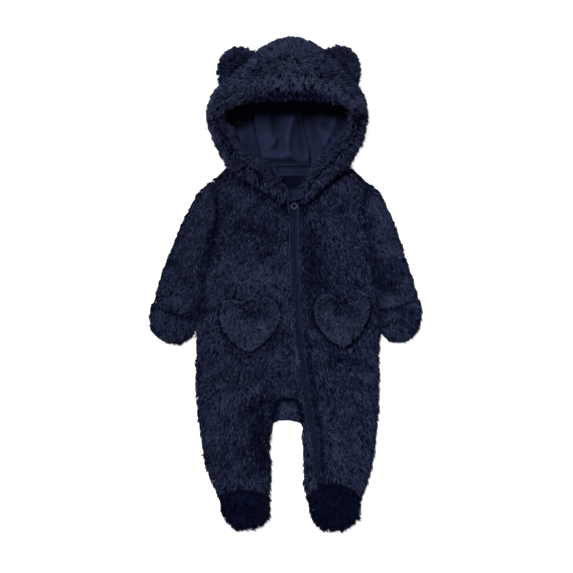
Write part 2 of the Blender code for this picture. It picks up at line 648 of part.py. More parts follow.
def under(base, seam, cells):
    """The hood's back: it turns in below its outline and lies flat as far as the seam."""
    inward = seam[:, :2] - base[:, :2]
    length = np.linalg.norm(inward, axis=1, keepdims=True)
    inward = inward / length
    turned = np.hstack([base[:, :2] + inward * np.minimum(2.0, length * 0.1), base[:, 2:] * 0.3])
    flat = np.hstack([base[:, :2] + inward * np.minimum(TURN_IN, length * 0.4), base[:, 2:] * 0.0])
    steps = [flat + (seam - flat) * t for t in np.linspace(0, 1, cells + 1)]
    return np.stack([turned, *steps], 1)


def side_sections(rows):
    """A side's fold at the mouth, its outline, the facing's inner edge and its crest, section by section."""
    return *(hood_points(rows, which) for which in ("ridge", "base", "in")), table(HOOD_COLUMNS, rows)["crest"]


def centre_sections(x):
    """The same for the strip between the sides: towards them its brim, crown and crest fall back."""
    t = (x - sum(CENTRE_X) / 2) / ((CENTRE_X[1] - CENTRE_X[0]) / 2)
    rise, fall = np.array([BRIM, CROWN]), np.array([BRIM_FALL, CROWN_FALL])
    ridge, base = (np.column_stack([x, at - drop * t[:, None] ** 2]) for at, drop in zip(rise, fall))
    return ridge, base, ridge + BRIM_FACING, HOOD_CENTRE_CREST - 2.0 * t**2


def wall_side(step, level):
    """The direction square to a step in the upright plane of a level one, to the right of the step."""
    level = unit(level * (1, 1, 0))
    return unit(step[:, 2:] * level - (step * level).sum(-1, keepdims=True) * (0, 0, 1))


def mouth(ridge, base, edge, crest):
    """At each section of the mouth: where the outside and the facing start beside the fold, where the inner
    faces of their walls meet, and the side of the facing on which its wall lies."""
    first = outside(ridge, base, crest, np.array([0.0, 0.04]))
    outward, inward = unit(first[:, 1] - first[:, 0]), unit(edge - ridge)
    behind = -wall_side(inward, base - ridge)
    below = wall_side(outward, base - ridge)
    middle = unit(behind + below)
    narrow = (middle * below).sum(-1, keepdims=True)
    gap = SEAM / 2 / narrow
    return outward * gap, inward * gap, ridge + middle * FOLD_WALLS[0] / narrow, behind


def hood_wall(sections, seam):
    """The outer and the inner face of a piece of the hood with its back."""
    ridge, base, _, crest = sections
    skin = outside(ridge, base, crest, np.linspace(0, 1, HOOD_OUTSIDE_CELLS + 1))
    skin = np.concatenate([skin, under(base, seam, HOOD_FLOOR_CELLS)], 1)
    n = normals(skin)
    n *= np.sign(n[len(ridge) // 2, 2, 2])
    n[:, HOOD_OUTSIDE_CELLS + 2 :] = (0, 0, -1)
    walls = np.full((skin.shape[1], 1), CLOTH)
    walls[: len(FOLD_WALLS), 0] = FOLD_WALLS
    inner = skin - walls * n
    outward, _, corner, _ = mouth(*sections)
    skin[:, 0] += outward
    inner[:, 0] = corner + outward
    return skin, inner


def make_hood_side(name, rows, seam_x):
    sections = side_sections(rows)
    base = sections[1]
    seam_y = np.linspace(NECK_BACK_Y + 0.8, base[-1, 1] - 12.0, len(rows) - HOOD_FLOOR_ROW)
    seam = stack(seam_x, np.r_[np.full(HOOD_FLOOR_ROW, seam_y[0]), seam_y], 0.0)
    skin, inner = hood_wall(sections, seam)
    inner[:HOOD_FLOOR_ROW, HOOD_OUTSIDE_CELLS] = base[:HOOD_FLOOR_ROW] - (0, 0, CLOTH - 0.5)
    skin[-1, :, 0] = inner[-1, :, 0] = seam_x
    keep = np.ones((len(rows) - 1, skin.shape[1] - 1), bool)
    keep[:HOOD_FLOOR_ROW, HOOD_OUTSIDE_CELLS:] = False
    shell(name, skin, inner, "fleece", keep)


def make_hood_centre():
    """The strip between the two sides, from the brim over the crown to the neck, arched across its width."""
    x = np.linspace(CENTRE_X[0] + SEAM / 2, CENTRE_X[1] - SEAM / 2, CENTRE_COLUMNS)
    skin, inner = hood_wall(centre_sections(x), stack(x, NECK_BACK_Y + 0.8, 0.0))
    skin[..., 0] = inner[..., 0] = x[:, None]
    shell("hood_centre", skin, inner, "fleece")


def facing():
    """The facing's visible face and its back, from the left end round the brim to the right end."""
    x = np.linspace(*CENTRE_X, CENTRE_COLUMNS)[1:-1]
    right = [p[::-1] for p in side_sections(HOOD_RIGHT)]
    parts = zip(side_sections(HOOD_LEFT), centre_sections(x), right)
    ridge, base, edge, crest = (np.concatenate(p) for p in parts)
    _, inward, corner, behind = mouth(ridge, base, edge, crest)
    bulge = ridge + 0.5 * (edge - ridge) - behind
    face = bezier(ridge, ridge + 0.3 * (edge - ridge), bulge, edge, np.linspace(0, 1, 4))
    n = normals(face)
    n *= np.sign((behind[:, None] * n).sum(-1, keepdims=True))
    back = face + FACING_WALL * n
    face[:, 0] += inward
    back[:, 0] = corner + inward
    return face, back


def make_facing():
    """The fleece band inside the mouth, all round it from one side of the zip to the other."""
    shell("hood_facing", *facing(), "fleece")


def lining_path(top, base, seam):
    """The jersey from behind the facing's inner edge down to the hood's back, on which it lies."""
    inward = unit(seam[:, :2] - base[:, :2])
    wall = np.hstack([base[:, :2] + inward * LINING_WALL_IN, 0.45 * top[:, 2:] + 6.0])
    floor = np.hstack([base[:, :2] + inward * LINING_FLOOR_IN, np.full((len(base), 1), LINING_Z)])
    return [top, (top + wall) / 2 + (0, 0, LINING_SLACK), wall, floor]


def lining_shell(name, grid, first, seams):
    """A wall behind the grid that stays clear of the facing, whose own direction is first; seams are the
    rows beside a seam."""
    n = normals(grid)
    n *= np.sign(n[:, -1, 2].mean())
    n[:, 0] -= np.minimum((n[:, 0] * first).sum(-1, keepdims=True), 0) * first
    n[:, 4:] = (0, 0, 1)
    n[seams, :, 0] = 0.0
    shell(name, grid, grid - JERSEY * unit(n), "jersey")


def make_lining():
    """Two sides and a middle, each from behind the facing's inner edge to the seams on the hood's back."""
    face, back = facing()
    first = unit(face - back)[:, -1]
    top = back[:, -1] - first * 2 * SEAM
    s = table(LINING_COLUMNS, LINING_SEAMS)
    for side, rows, step, away in (("left", HOOD_LEFT, 1, -1), ("right", HOOD_RIGHT, -1, 1)):
        used = slice(LINING_FIRST_ROW, len(rows))
        base = hood_points(rows, "base")[used]
        seam = stack(s[side] + away * SEAM, s["y"], LINING_Z)
        path = lining_path(top[::step][used], base, seam)
        seam[-1] = path[-1][-1]
        grid = np.stack([*path, (path[-1] + seam) / 2, seam], 1)
        grid[-1, :3, 0] = seam[-1, 0]
        lining_shell(f"hood_lining_{side}", grid, first[::step][used], [-1])
    columns = slice(len(HOOD_LEFT) - 1, len(HOOD_LEFT) - 1 + CENTRE_COLUMNS)
    left, right = s["left"] + SEAM, s["right"] - SEAM
    t = np.linspace(0, 1, CENTRE_COLUMNS)[:, None]
    x = left + (right - left) * t
    _, base, _, _ = centre_sections(x[:, -1])
    floor = stack(x, s["y"], LINING_Z)[:, ::-1]
    grid = np.stack([*lining_path(top[columns], base, floor[:, 0]), *floor.transpose(1, 0, 2)], 1)
    grid[:, :4, 0] = x[:, -1:]
    lining_shell("hood_lining_centre", grid, first[columns], [0, -1])


def make_ear(side, rows):
    """An ear of two rounded pieces, sewn round the rim and open at the foot."""
    e = dict(zip(EAR_COLUMNS, smooth(rows, EAR_AROUND).T))
    v = np.linspace(0, 1, 5)[:, None]
    foot = np.stack([e["foot_x"], e["foot_y"]], -1)
    rim = np.stack([e["rim_x"], e["rim_y"]], -1)
    u = np.linspace(0, 1, EAR_AROUND)[None]
    foot = foot + unit(rim - foot) * EAR_FOOT_AWAY
    x = foot[:, 0] + (rim - foot)[:, 0] * v
    y = foot[:, 1] + (rim - foot)[:, 1] * v
    inside = np.minimum(ease(4 * (1 - v) * 0.9), ease(4 * np.minimum(u, 1 - u) + 0.15))
    centre = EAR_FOOT_Z + (EAR_TIP_Z - EAR_FOOT_Z) * v
    for name, way in (("front", 1), ("back", -1)):
        near = centre + way * (SEAM / 2 + EAR_HALF * inside)
        far = near + way * (EAR_WALL * (0.6 + 0.4 * inside))
        shell(f"ear_{side}_{name}", stack(x, y, far), stack(x, y, near), "fleece")


def make_neck_tape():
    """The jersey tape over the seam at the back of the neck."""
    x = np.linspace(-19.0, 43.0, 7)[None]
    t = np.linspace(-1, 1, 7)[None]
    v = np.linspace(0, 1, 3)[:, None]
    y = 157.6 + 12.0 * v - 1.5 * (1 - t**2) * (1 - v)
    base = back_high(x, y) + LAID
    shell("neck_tape", stack(x, y, base + JERSEY), stack(x, y, base), "jersey")


# --- pockets and zip ------------------------------------------------------------------------------------


def make_pocket(name, heart):
    """A heart laid on a front: its points are the front's, moved out, and its edge is drawn in."""
    heart = np.array(heart, float)
    middle = heart.mean(0)
    rings = np.array(POCKET_RINGS)[:, None, None]
    plan = middle + rings * (heart - middle)
    x, y = plan[..., 0], plan[..., 1]
    base = front_high(x, y) + LAID
    crown = POCKET_THICK * (0.7 + 0.3 * ease((1 - rings[..., 0]) / 0.3))
    last = len(POCKET_RINGS) - 1
    shell(name, stack(x, y, base + crown), stack(x, y, base), "fleece", wrap=True, poles=(last,))


def zip_line():
    """The middle of the zip in plan, from its top to the foot seam."""
    b = body_table()
    x = np.r_[b["zip"][0], b["zip"][0], b["zip"]]
    y = np.r_[ZIP_TOP, 90.0, b["y"]]
    y[-1] = ZIP_FOOT
    return x, y


def tape_top(x, y):
    return front_high(x, y) - TAPE_DROP


def make_zip():
    x, y = zip_line()
    for side, way in (("left", -1), ("right", 1)):
        across = x[:, None] + way * np.array([TAPE_SPLIT, ZIP_HALF - SEAM])[None]
        top = tape_top(x, y)[:, None]
        rows = stack(across, y[:, None], top)
        shell(f"zip_tape_{side}", rows, rows - (0, 0, TAPE_THICK), "zip_tape")


def extruded(name, outline, low, high, kind):
    """An outline in plan, raised between two heights."""
    n = len(outline)
    vertices = [(x, y, z) for z in (low, high) for x, y in outline]
    faces = [tuple(range(n)), tuple(range(n, 2 * n))]
    faces += [(i, (i + 1) % n, n + (i + 1) % n, n + i) for i in range(n)]
    return add_mesh(name, vertices, faces, kind)


def union(target, tool):
    """Joins a second solid to the first with an exact Boolean and removes it."""
    cut = target.modifiers.new("join", "BOOLEAN")
    cut.operation, cut.object, cut.solver = "UNION", tool, "EXACT"
    evaluated = target.evaluated_get(bpy.context.evaluated_depsgraph_get())
    mesh = bpy.data.meshes.new_from_object(evaluated)
    target.modifiers.clear()
    target.data = mesh
    bpy.data.objects.remove(tool)


def make_slider_and_pull():
    """The slider: a waisted plate with a bail over it. The pull: a bar below the bail, two arms and a ring."""
    middle = zip_line()[0][0]
    plate = float(tape_top(middle, SLIDER_Y)) + LAID
    plate_top = plate + 1.9
    outline = [(4.0, 4.6), (4.2, 1.5), (3.0, -1.5), (3.0, -4.6), (-3.0, -4.6), (-3.0, -1.5), (-4.2, 1.5), (-4.0, 4.6)]
    outline = [(middle + x, SLIDER_Y + y) for x, y in outline]
    slider = extruded("zip_slider", outline, plate, plate_top, "zip_metal")
    axis_z = plate_top + 1.1
    bail = [(-4.1, -0.5), (-4.1, 2.6), (2.6, 2.6), (2.6, -0.5), (1.6, -0.5), (1.6, 2.0), (-3.2, 2.0), (-3.2, -0.5)]
    n = len(bail)
    vertices = [(middle + x, SLIDER_Y + y, plate_top + z) for x in (-0.9, 0.9) for y, z in bail]
    faces = [tuple(range(n)), tuple(range(n, 2 * n))]
    faces += [(i, (i + 1) % n, n + (i + 1) % n, n + i) for i in range(n)]
    union(slider, add_mesh("bail", vertices, faces, "zip_metal"))

    low, high = axis_z - PULL_THICK / 2, axis_z + PULL_THICK / 2
    turn = 2 * np.pi * (np.arange(20) + 0.5) / 20
    ring_y = PULL_Y - RING_AHEAD
    rings = [
        stack(middle + r * np.cos(turn), ring_y + r * np.sin(turn), z)
        for r, z in ((RING_RADIUS, high), (RING_RADIUS, low), (RING_HOLE, low), (RING_HOLE, high))
    ]
    vertices = np.vstack(rings)
    faces = [
        (k * 20 + i, k * 20 + (i + 1) % 20, (k + 1) % 4 * 20 + (i + 1) % 20, (k + 1) % 4 * 20 + i)
        for k in range(4)
        for i in range(20)
    ]
    pull = add_mesh("zip_pull", vertices, faces, "zip_metal")
    arm = [(2.5, 0.7), (-2.5, 0.7), (-2.5, -4.2), (-1.5, -4.2), (-1.5, -0.5), (1.5, -0.5), (1.5, -4.2), (2.5, -4.2)]
    arm = [(middle + x, PULL_Y + y) for x, y in arm]
    union(pull, extruded("arms", arm, low + 0.05, high - 0.05, "zip_metal"))
    pull.location = Vector((middle, PULL_Y, axis_z)) * MM
    pull.data.transform(Matrix.Translation(-pull.location))


def make_garage():
    """The jersey guard over the top of the zip, resting on the ends of the hood's band."""
    t = np.linspace(-1, 1, 7)[None]
    v = np.linspace(0, 1, 5)[:, None]
    x = 14.8 + 11.2 * t
    y = 120.8 + 1.4 * t * (1 - v) + 16.7 * v
    low = 16.6 + 1.0 * np.sin(np.pi * v) - 0.4 * t**4
    shell("zip_garage", stack(x, y, low + JERSEY), stack(x, y, low), "jersey")


def main():
    for old in list(bpy.data.objects):
        bpy.data.objects.remove(old)
    make_body()
    make_gusset()
    make_sleeve("sleeve_left", SLEEVE_LEFT, ARMHOLE_LEFT)
    make_sleeve("sleeve_right", SLEEVE_RIGHT, ARMHOLE_RIGHT)
    make_cuff("cuff_left", CUFF_LEFT)
    make_cuff("cuff_right", CUFF_RIGHT)
    make_foot("left", FOOT_LEFT, INSTEP_RISE[0])
    make_foot("right", FOOT_RIGHT, INSTEP_RISE[1])
    make_hood_side("hood_left", HOOD_LEFT, CENTRE_X[0] - SEAM / 2)
    make_hood_side("hood_right", HOOD_RIGHT, CENTRE_X[1] + SEAM / 2)
    make_hood_centre()
    make_facing()
    make_lining()
    make_neck_tape()
    make_ear("left", EAR_LEFT)
    make_ear("right", EAR_RIGHT)
    make_pocket("pocket_left", HEART_LEFT)
    make_pocket("pocket_right", HEART_RIGHT)
    make_zip()
    make_slider_and_pull()
    make_garage()


main()
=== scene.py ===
"""Looks of a hooded fleece jumpsuit for a baby, zipped and laid on its back.

Each cut piece is a closed wall of cloth between two grids of points, and its pile is one mesh of bent blades
that are rooted on it. The tables hold the garment's own measures in millimetres, as cut and laid out, and a
mesh is in metres. Left and right are as seen from the front.
"""

import bmesh
import bpy
import numpy as np
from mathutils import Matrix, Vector

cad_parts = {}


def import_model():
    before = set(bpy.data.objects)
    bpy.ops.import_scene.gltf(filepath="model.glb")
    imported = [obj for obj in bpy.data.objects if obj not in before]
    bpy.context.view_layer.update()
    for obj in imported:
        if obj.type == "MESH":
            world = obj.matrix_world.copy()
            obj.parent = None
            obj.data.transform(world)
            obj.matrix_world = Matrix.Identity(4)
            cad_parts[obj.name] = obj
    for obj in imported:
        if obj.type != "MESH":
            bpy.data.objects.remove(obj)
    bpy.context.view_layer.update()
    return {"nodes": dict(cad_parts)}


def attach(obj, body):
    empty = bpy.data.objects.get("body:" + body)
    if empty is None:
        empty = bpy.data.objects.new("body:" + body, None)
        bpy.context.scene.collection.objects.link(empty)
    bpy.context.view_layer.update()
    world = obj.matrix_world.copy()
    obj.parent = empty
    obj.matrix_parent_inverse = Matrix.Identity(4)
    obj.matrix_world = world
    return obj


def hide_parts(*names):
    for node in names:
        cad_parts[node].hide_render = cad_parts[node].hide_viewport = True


MM = 0.001
FINE = 4  # steps that a grid is refined by

# Cloth
CLOTH = 4.0  # fleece: ground cloth with the pressed foot of its pile
CLOTH_RIM = 3.0  # the same cloth where an edge is drawn in by its seam
LEAST_WALL = 1.4  # the least that a crease leaves of it
JERSEY = 1.4
SEAM = 0.4  # between two pieces that are sewn together
LAID = 0.35  # between two layers that lie on each other

# How the two layers of the body lie
RIM_RISE = 2.5  # the underside of a side seam above the surface
RIM_REACH = 12.0  # how far in from a side seam the cloth lies flat again
LOFT = 3.1  # how far the fronts stand off the back
LOFT_REACH = 45.0  # how far in from a side seam they stand off it fully

# Zip
ZIP_TOP, ZIP_FOOT = 136.0, -288.8
ZIP_HALF = 5.0  # from its middle to the edge of each front
TAPE_DROP = 2.1  # the tape's top below the fronts' top
TAPE_THICK = 1.1
TAPE_SPLIT = 0.25  # from the zip's middle to the inner edge of each tape
TOOTH = (2.5, 1.05, 1.3)  # how far a tooth of the coil reaches across the zip, along it and up
TOOTH_PITCH = 1.45
TOOTH_OFF = 1.05  # from the zip's middle to a tooth's
TOOTH_SHIFT = {"left": 0.36, "right": 0.0}  # along the zip, so that one row fills the other's gaps
THREAD = 0.55  # how thick a stitch is
CORD_AROUND = 8

# Plan of the body below the arms, from the underarm to the ankles
BODY_COLUMNS = ("y", "side_left", "leg_left", "leg_right", "zip", "side_right", "crotch", "instep")
BODY_ROWS = (
    (50, -111.5, -40, -6, 12.6, 121.5, 0.00, 0.0),
    (20, -113.5, -38, -4, 14.2, 127.5, 0.00, 0.0),
    (-12, -117.5, -34, 1, 15.9, 131.5, 0.00, 0.0),
    (-45, -122.0, -31, 5, 17.4, 133.0, 0.00, 0.0),
    (-80, -124.0, -28, 10, 20.8, 131.5, 0.03, 0.0),
    (-110, -126.0, -25, 15, 25.0, 131.5, 0.10, 0.0),
    (-138, -126.0, -23, 19, 28.6, 131.5, 0.28, 0.0),
    (-166, -125.0, -21, 23, 32.0, 131.0, 0.58, 0.0),
    (-196, -121.5, -19, 27, 37.0, 129.5, 1.00, 0.0),
    (-218, -118.5, -26, 28, 41.0, 127.5, 0.00, 0.0),
    (-242, -115.0, -27, 29, 44.0, 124.5, 0.00, 0.1),
    (-264, -110.0, -26, 30, 45.7, 120.5, 0.00, 0.3),
    (-285, -103.0, -26, 31, 46.7, 115.0, 0.00, 0.6),
    (-304, -93.0, -27, 33, 47.5, 107.5, 0.00, 1.0),
)
CROTCH_RISE = 31.0  # of the gusset's upper seam over its corners
INSTEP_RISE = (9.0, 18.5)  # of the foot seam over its ends, left and right
# Cells of a panel's grid across the left leg, the crotch, the strip up to the zip, and on to the right side
CELLS_LEFT, CELLS_CROTCH, CELLS_STRIP, CELLS_RIGHT = 6, 4, 1, 6
SHOULDER_CELLS, RIGHT_SHOULDER_CELLS = 3, 2  # at a panel's top, and at the right front's
YOKE_ROWS = 5  # cells from the top of a panel to the underarm

# Armholes from the shoulder to the underarm, and the seams at the top of the fronts and the back
ARMHOLE_LEFT = ((-106, 144), (-98, 123), (-96.5, 102), (-101, 75), (-111.5, 50))
ARMHOLE_RIGHT = ((119, 142), (114, 122), (113, 103), (116.5, 76), (121.5, 50))
SHOULDER_LEFT, SHOULDER_RIGHT = (-79, 168.5), (86, 168)
NECK_LEFT = ((-79, 168.5), (-58, 153), (-38, 139), (-18, 126), (-1, 116.5), (7.6, 114))
NECK_RIGHT = ((86, 168), (66, 154.5), (52, 141), (40, 126.5), (28, 118), (17.6, 114))
NECK_BACK_Y = 168.5
GUSSET_EDGE = ((-19, -196), (-9, -191.3), (5, -190.5), (16, -193), (27, -198.5))
GUSSET_EASE = 0.96  # the gusset's upper seam, beside the cut that it is sewn into
GUSSET_SPAN = (-0.85, -0.5, 0.0, 0.5, 0.85)  # its columns, in half widths from the middle
GUSSET_WALL = 3.4  # its cloth, folded round the edge
GUSSET_MIDDLE, GUSSET_HALF = (4, -196), 23  # between its two corners
GUSSET_FOLD = ((0, 1), (0.35, 1), (0.75, 0.97), (1, 0.5), (0.75, 0.03), (0.35, 0), (0, 0))  # down, up

# Sleeves: the two ends of each section, its bow towards the body, and its underside and top
SLEEVE_COLUMNS = ("outer_x", "outer_y", "inner_x", "inner_y", "bow", "low", "high")
SLEEVE_LEFT = (
    (-106.4, 144.4, -112.2, 50.4, 13.0, 0.0, 11.4),
    (-119.0, 133.0, -112.9, 45.0, 8.0, 0.0, 11.6),
    (-131.0, 114.0, -113.7, 38.0, 4.0, 0.0, 11.6),
    (-143.0, 90.0, -114.8, 27.0, 1.0, 0.0, 11.6),
    (-155.0, 62.0, -116.6, 13.0, 0.0, 0.0, 11.6),
    (-165.0, 37.0, -119.6, -4.0, 0.0, 0.0, 11.6),
    (-174.0, 14.0, -125.5, -23.0, 0.0, 0.0, 11.6),
    (-180.5, -7.0, -133.5, -38.0, 0.0, 1.0, 11.6),
    (-184.6, -25.5, -138.6, -44.5, -2.0, 4.1, 11.2),
    (-185.6, -38.0, -139.5, -54.0, -4.0, 4.1, 11.2),
)
SLEEVE_RIGHT = (
    (119.4, 142.4, 122.3, 50.4, 8.0, 0.0, 11.4),
    (131.0, 131.0, 123.8, 45.0, 5.0, 0.0, 11.6),
    (141.0, 113.0, 125.6, 38.0, 3.0, 0.0, 11.6),
    (150.0, 90.0, 127.9, 28.0, 1.0, 0.0, 11.6),
    (159.0, 65.0, 130.6, 15.0, 0.0, 0.0, 11.6),
    (167.5, 40.0, 133.3, 0.0, 0.0, 0.0, 11.6),
    (175.5, 15.0, 136.0, -17.0, 0.0, 0.0, 11.6),
    (181.5, -3.0, 138.5, -28.0, 0.0, 1.0, 11.6),
    (184.8, -19.5, 143.2, -33.5, -2.0, 4.1, 11.2),
    (186.4, -33.0, 143.8, -45.0, -4.0, 4.1, 11.2),
)
CUFF_LEFT = (
    (-189.0, -26.5, -134.2, -45.0, -3.0, 0.0, 15.4),
    (-191.0, -44.0, -134.0, -56.0, -4.0, 0.0, 15.4),
    (-190.5, -58.0, -136.5, -66.0, -5.0, 0.0, 15.0),
    (-185.0, -68.0, -142.5, -74.5, -4.0, 0.6, 14.0),
    (-175.0, -75.0, -152.0, -79.5, -2.0, 2.4, 11.5),
)
CUFF_RIGHT = (
    (189.5, -20.5, 138.4, -34.0, -3.0, 0.0, 15.4),
    (191.5, -37.0, 138.6, -48.0, -4.0, 0.0, 15.4),
    (190.5, -52.0, 141.0, -62.0, -5.0, 0.0, 15.0),
    (185.5, -65.5, 147.5, -72.5, -4.0, 0.6, 14.0),
    (176.0, -73.5, 157.0, -78.0, -2.0, 2.4, 11.5),
)
SLEEVE_AROUND = 16  # points round a tube
SLEEVE_WALL = 4.0
SLEEVE_END_WALL = 3.2  # where the sleeve lies inside its cuff
CUFF_WALL = 3.6

# Feet, from the seam at the instep to the toe
FOOT_COLUMNS = ("y", "left", "right", "seam")
FOOT_LEFT = (
    (-304.6, -93.0, -27.0, 1.0),
    (-314.0, -91.0, -26.5, 0.6),
    (-325.0, -87.0, -27.0, 0.3),
    (-335.0, -82.0, -31.0, 0.05),
    (-343.0, -74.0, -39.5, -0.05),
    (-347.5, -66.0, -49.0, -0.1),
)
FOOT_RIGHT = (
    (-304.6, 33.0, 107.5, 1.0),
    (-315.0, 37.5, 105.5, 0.6),
    (-326.0, 40.5, 103.0, 0.3),
    (-336.0, 44.5, 98.5, 0.05),
    (-344.5, 51.0, 90.0, -0.05),
    (-349.5, 60.0, 79.0, -0.1),
)

# Hood: where each section meets the body or the surface, its fold at the mouth, and the facing's inner edge
HOOD_COLUMNS = (
    "base_x", "base_y", "base_z", "ridge_x", "ridge_y", "ridge_z", "in_x", "in_y", "in_z", "crest",
)
HOOD_LEFT = (
    (7.0, 114.8, 11.5, 7.0, 126, 14, 7.0, 137, 12.5, 1),
    (-9.5, 121.5, 11.5, -7.0, 134, 18, -3.0, 145, 14, 1),
    (-26.0, 132.0, 11.3, -20.0, 145, 22, -13.0, 157, 14, 2),
    (-43.0, 143.2, 11.0, -35.0, 156, 24, -25.0, 168, 14, 2),
    (-60.0, 155.2, 10.6, -50.0, 168, 26, -40.0, 179, 15, 3),
    (-76.5, 170.2, 9.0, -64.0, 180, 28, -53.0, 191, 16, 4),
    (-85.0, 184.0, 8.0, -75.5, 193, 31, -64.0, 204, 18, 5),
    (-97.0, 207.0, 8.5, -87.0, 211, 35, -76.0, 217, 21, 6),
    (-105.0, 229.0, 9.0, -94.5, 227, 39, -85.5, 228, 25, 8),
    (-107.5, 245.0, 9.0, -97.0, 240, 43, -90.0, 238, 30, 10),
    (-103.5, 262.0, 9.0, -90.5, 251, 48, -87.0, 251, 35, 14),
    (-91.0, 283.0, 9.0, -78.0, 258, 51, -77.5, 264, 39, 18),
    (-72.0, 301.0, 9.0, -63.5, 262, 53, -63.5, 272, 42, 22),
    (-51.5, 319.0, 9.0, -48.0, 265, 55, -49.0, 278, 44, 26),
    (-33.5, 335.0, 8.5, -33.4, 267, 56, -33.8, 281, 45, 28),
)
HOOD_RIGHT = (
    (18.4, 114.8, 11.5, 18.6, 126, 14, 18.6, 137, 12.5, 1),
    (33.0, 122.6, 11.5, 31.0, 134, 18, 28.0, 145, 14, 1),
    (45.5, 134.4, 11.3, 39.5, 145, 22, 34.0, 155, 14, 2),
    (58.5, 148.8, 11.0, 50.0, 159, 24, 42.0, 167, 14, 2),
    (71.0, 159.2, 10.6, 61.5, 169, 26, 51.0, 178, 15, 3),
    (84.5, 169.8, 9.0, 73.5, 180, 28, 61.5, 190, 16, 4),
    (91.0, 184.0, 8.0, 83.0, 193, 31, 73.0, 201, 18, 5),
    (104.0, 206.0, 8.5, 94.5, 209, 35, 84.0, 212, 21, 6),
    (110.5, 228.0, 9.0, 100.5, 226, 39, 91.5, 224, 25, 8),
    (112.0, 244.0, 9.0, 102.0, 239, 43, 95.5, 236, 30, 10),
    (109.5, 261.0, 9.0, 97.0, 250, 48, 94.0, 249, 35, 14),
    (101.0, 281.0, 9.0, 89.5, 257, 51, 89.0, 263, 39, 18),
    (86.5, 301.0, 9.0, 76.5, 262, 53, 76.5, 272, 42, 22),
    (69.0, 320.0, 9.0, 64.0, 265, 55, 64.5, 278, 44, 26),
    (53.5, 334.0, 8.5, 51.4, 267, 56, 51.6, 281, 45, 28),
)
HOOD_CENTRE_CREST = 30.0
BRIM, BRIM_FALL = (267.5, 56.5), (0.5, 0.5)  # y and z of the fold at the brim, and its fall at the seams
CROWN, CROWN_FALL = (351.0, 8.5), (16.5, 0.0)  # the same for the hood's outline at the crown
BRIM_FACING = (0, 14.0, -11.0)  # from the fold at the brim to the facing's inner edge
HOOD_FLOOR_ROW = 5  # from this section on, the hood has a back below it
CENTRE_X = (-33.0, 51.0)  # the centre panel's seams
CENTRE_COLUMNS = 6
HOOD_SEAM_Y = NECK_BACK_Y + 0.8  # where the hood's back is sewn to the garment's
FOLD_WALLS = (1.8, 2.1, 3.2)  # the cloth at the mouth, drawn in by the fold, and how it gets thicker
FACING_WALL = 1.8
HOOD_OUTSIDE_CELLS, HOOD_FLOOR_CELLS = 5, 2  # from the mouth to the outline, and on to the seam below
TURN_IN = 8.0  # from the hood's outline to where its back lies flat

# Seams of the lining on the hood's back, from the neck up
LINING_COLUMNS = ("y", "left", "right")
LINING_SEAMS = (
    (170.4, -33.5, 36.0),
    (188.0, -36.0, 35.0),
    (204.0, -39.5, 32.5),
    (220.0, -43.0, 28.5),
    (236.0, -45.5, 25.5),
    (252.0, -46.5, 25.0),
    (268.0, -45.5, 28.0),
    (283.0, -42.0, 33.0),
    (296.0, -37.5, 41.0),
    (314.0, -33.0, 51.0),
)
LINING_FIRST_ROW = 5  # the hood's section that the lining starts at
LINING_Z = CLOTH + LAID + JERSEY  # the lining's top where it lies on the back
LINING_WALL_IN, LINING_FLOOR_IN = 13.0, 20.0  # from the hood's outline to the lining's side and its foot
LINING_SLACK = 2.0  # how far its upper part bulges
LINING_OFF = 6.8  # how far it stands off the hood between its seams
LINING_FOLD = 2.2  # how much of that a crease of depth 1 takes off
LINING_FINE = 6  # steps that its grid is refined by

# Ears: how far each one's middle and rim lie from its foot line
EAR_COLUMNS = ("foot_x", "foot_y", "rim_x", "rim_y")
EAR_LEFT = (
    (-88.0, 288.0, -92.5, 295.5),
    (-79.5, 295.5, -92.5, 315.0),
    (-70.0, 304.0, -84.5, 331.0),
    (-61.0, 312.5, -70.5, 338.0),
    (-53.0, 320.0, -57.0, 335.0),
    (-46.5, 326.0, -47.5, 330.0),
)
EAR_RIGHT = (
    (97.2, 288.6, 101.5, 295.5),
    (91.3, 296.8, 102.0, 315.0),
    (84.3, 305.3, 94.5, 332.0),
    (76.3, 314.1, 81.0, 339.0),
    (68.8, 321.8, 68.0, 336.5),
    (61.6, 328.2, 59.5, 332.0),
)
EAR_AROUND, EAR_ROWS = 9, 5  # points along an ear's rim, and from its foot to its rim
EAR_FOOT_Z, EAR_TIP_Z = 20.0, 15.0
EAR_FOOT_AWAY = -1.0  # from the foot line to the edge that is sewn to the hood
EAR_HALF = 3.2  # half of the hollow inside the ear
EAR_WALL = 3.6

# Heart pockets, clockwise from the notch
HEART_LEFT = (
    (-64, -27), (-52, -21.5), (-38, -20), (-24, -22), (-13, -31), (-9.5, -44), (-13, -58), (-23, -72),
    (-36, -85), (-50, -94.5), (-63, -90), (-76, -80), (-86, -67), (-92, -53), (-92.5, -39), (-88, -27),
    (-81, -22.5), (-73, -24),
)
HEART_RIGHT = (
    (78, -24), (87, -17), (98, -11), (109, -11), (117, -19), (120, -33), (117.5, -48), (110, -63),
    (99, -77), (85, -88), (72, -83), (59.5, -73), (50, -60), (44.5, -46), (44, -32), (49, -20), (57.5, -15),
    (68, -18),
)
POCKET_THICK = 4.0
POCKET_RINGS = (1.0, 0.72, 0.4, 0.0)  # sizes of the hearts from its edge to its middle

# Tape at the back of the neck
NECK_TAPE_X = (-19.0, 43.0)
NECK_TAPE_FOOT, NECK_TAPE_TALL, NECK_TAPE_BOW = 157.6, 12.0, 1.5
NECK_TAPE_RIBS = (161.4, 164.6)

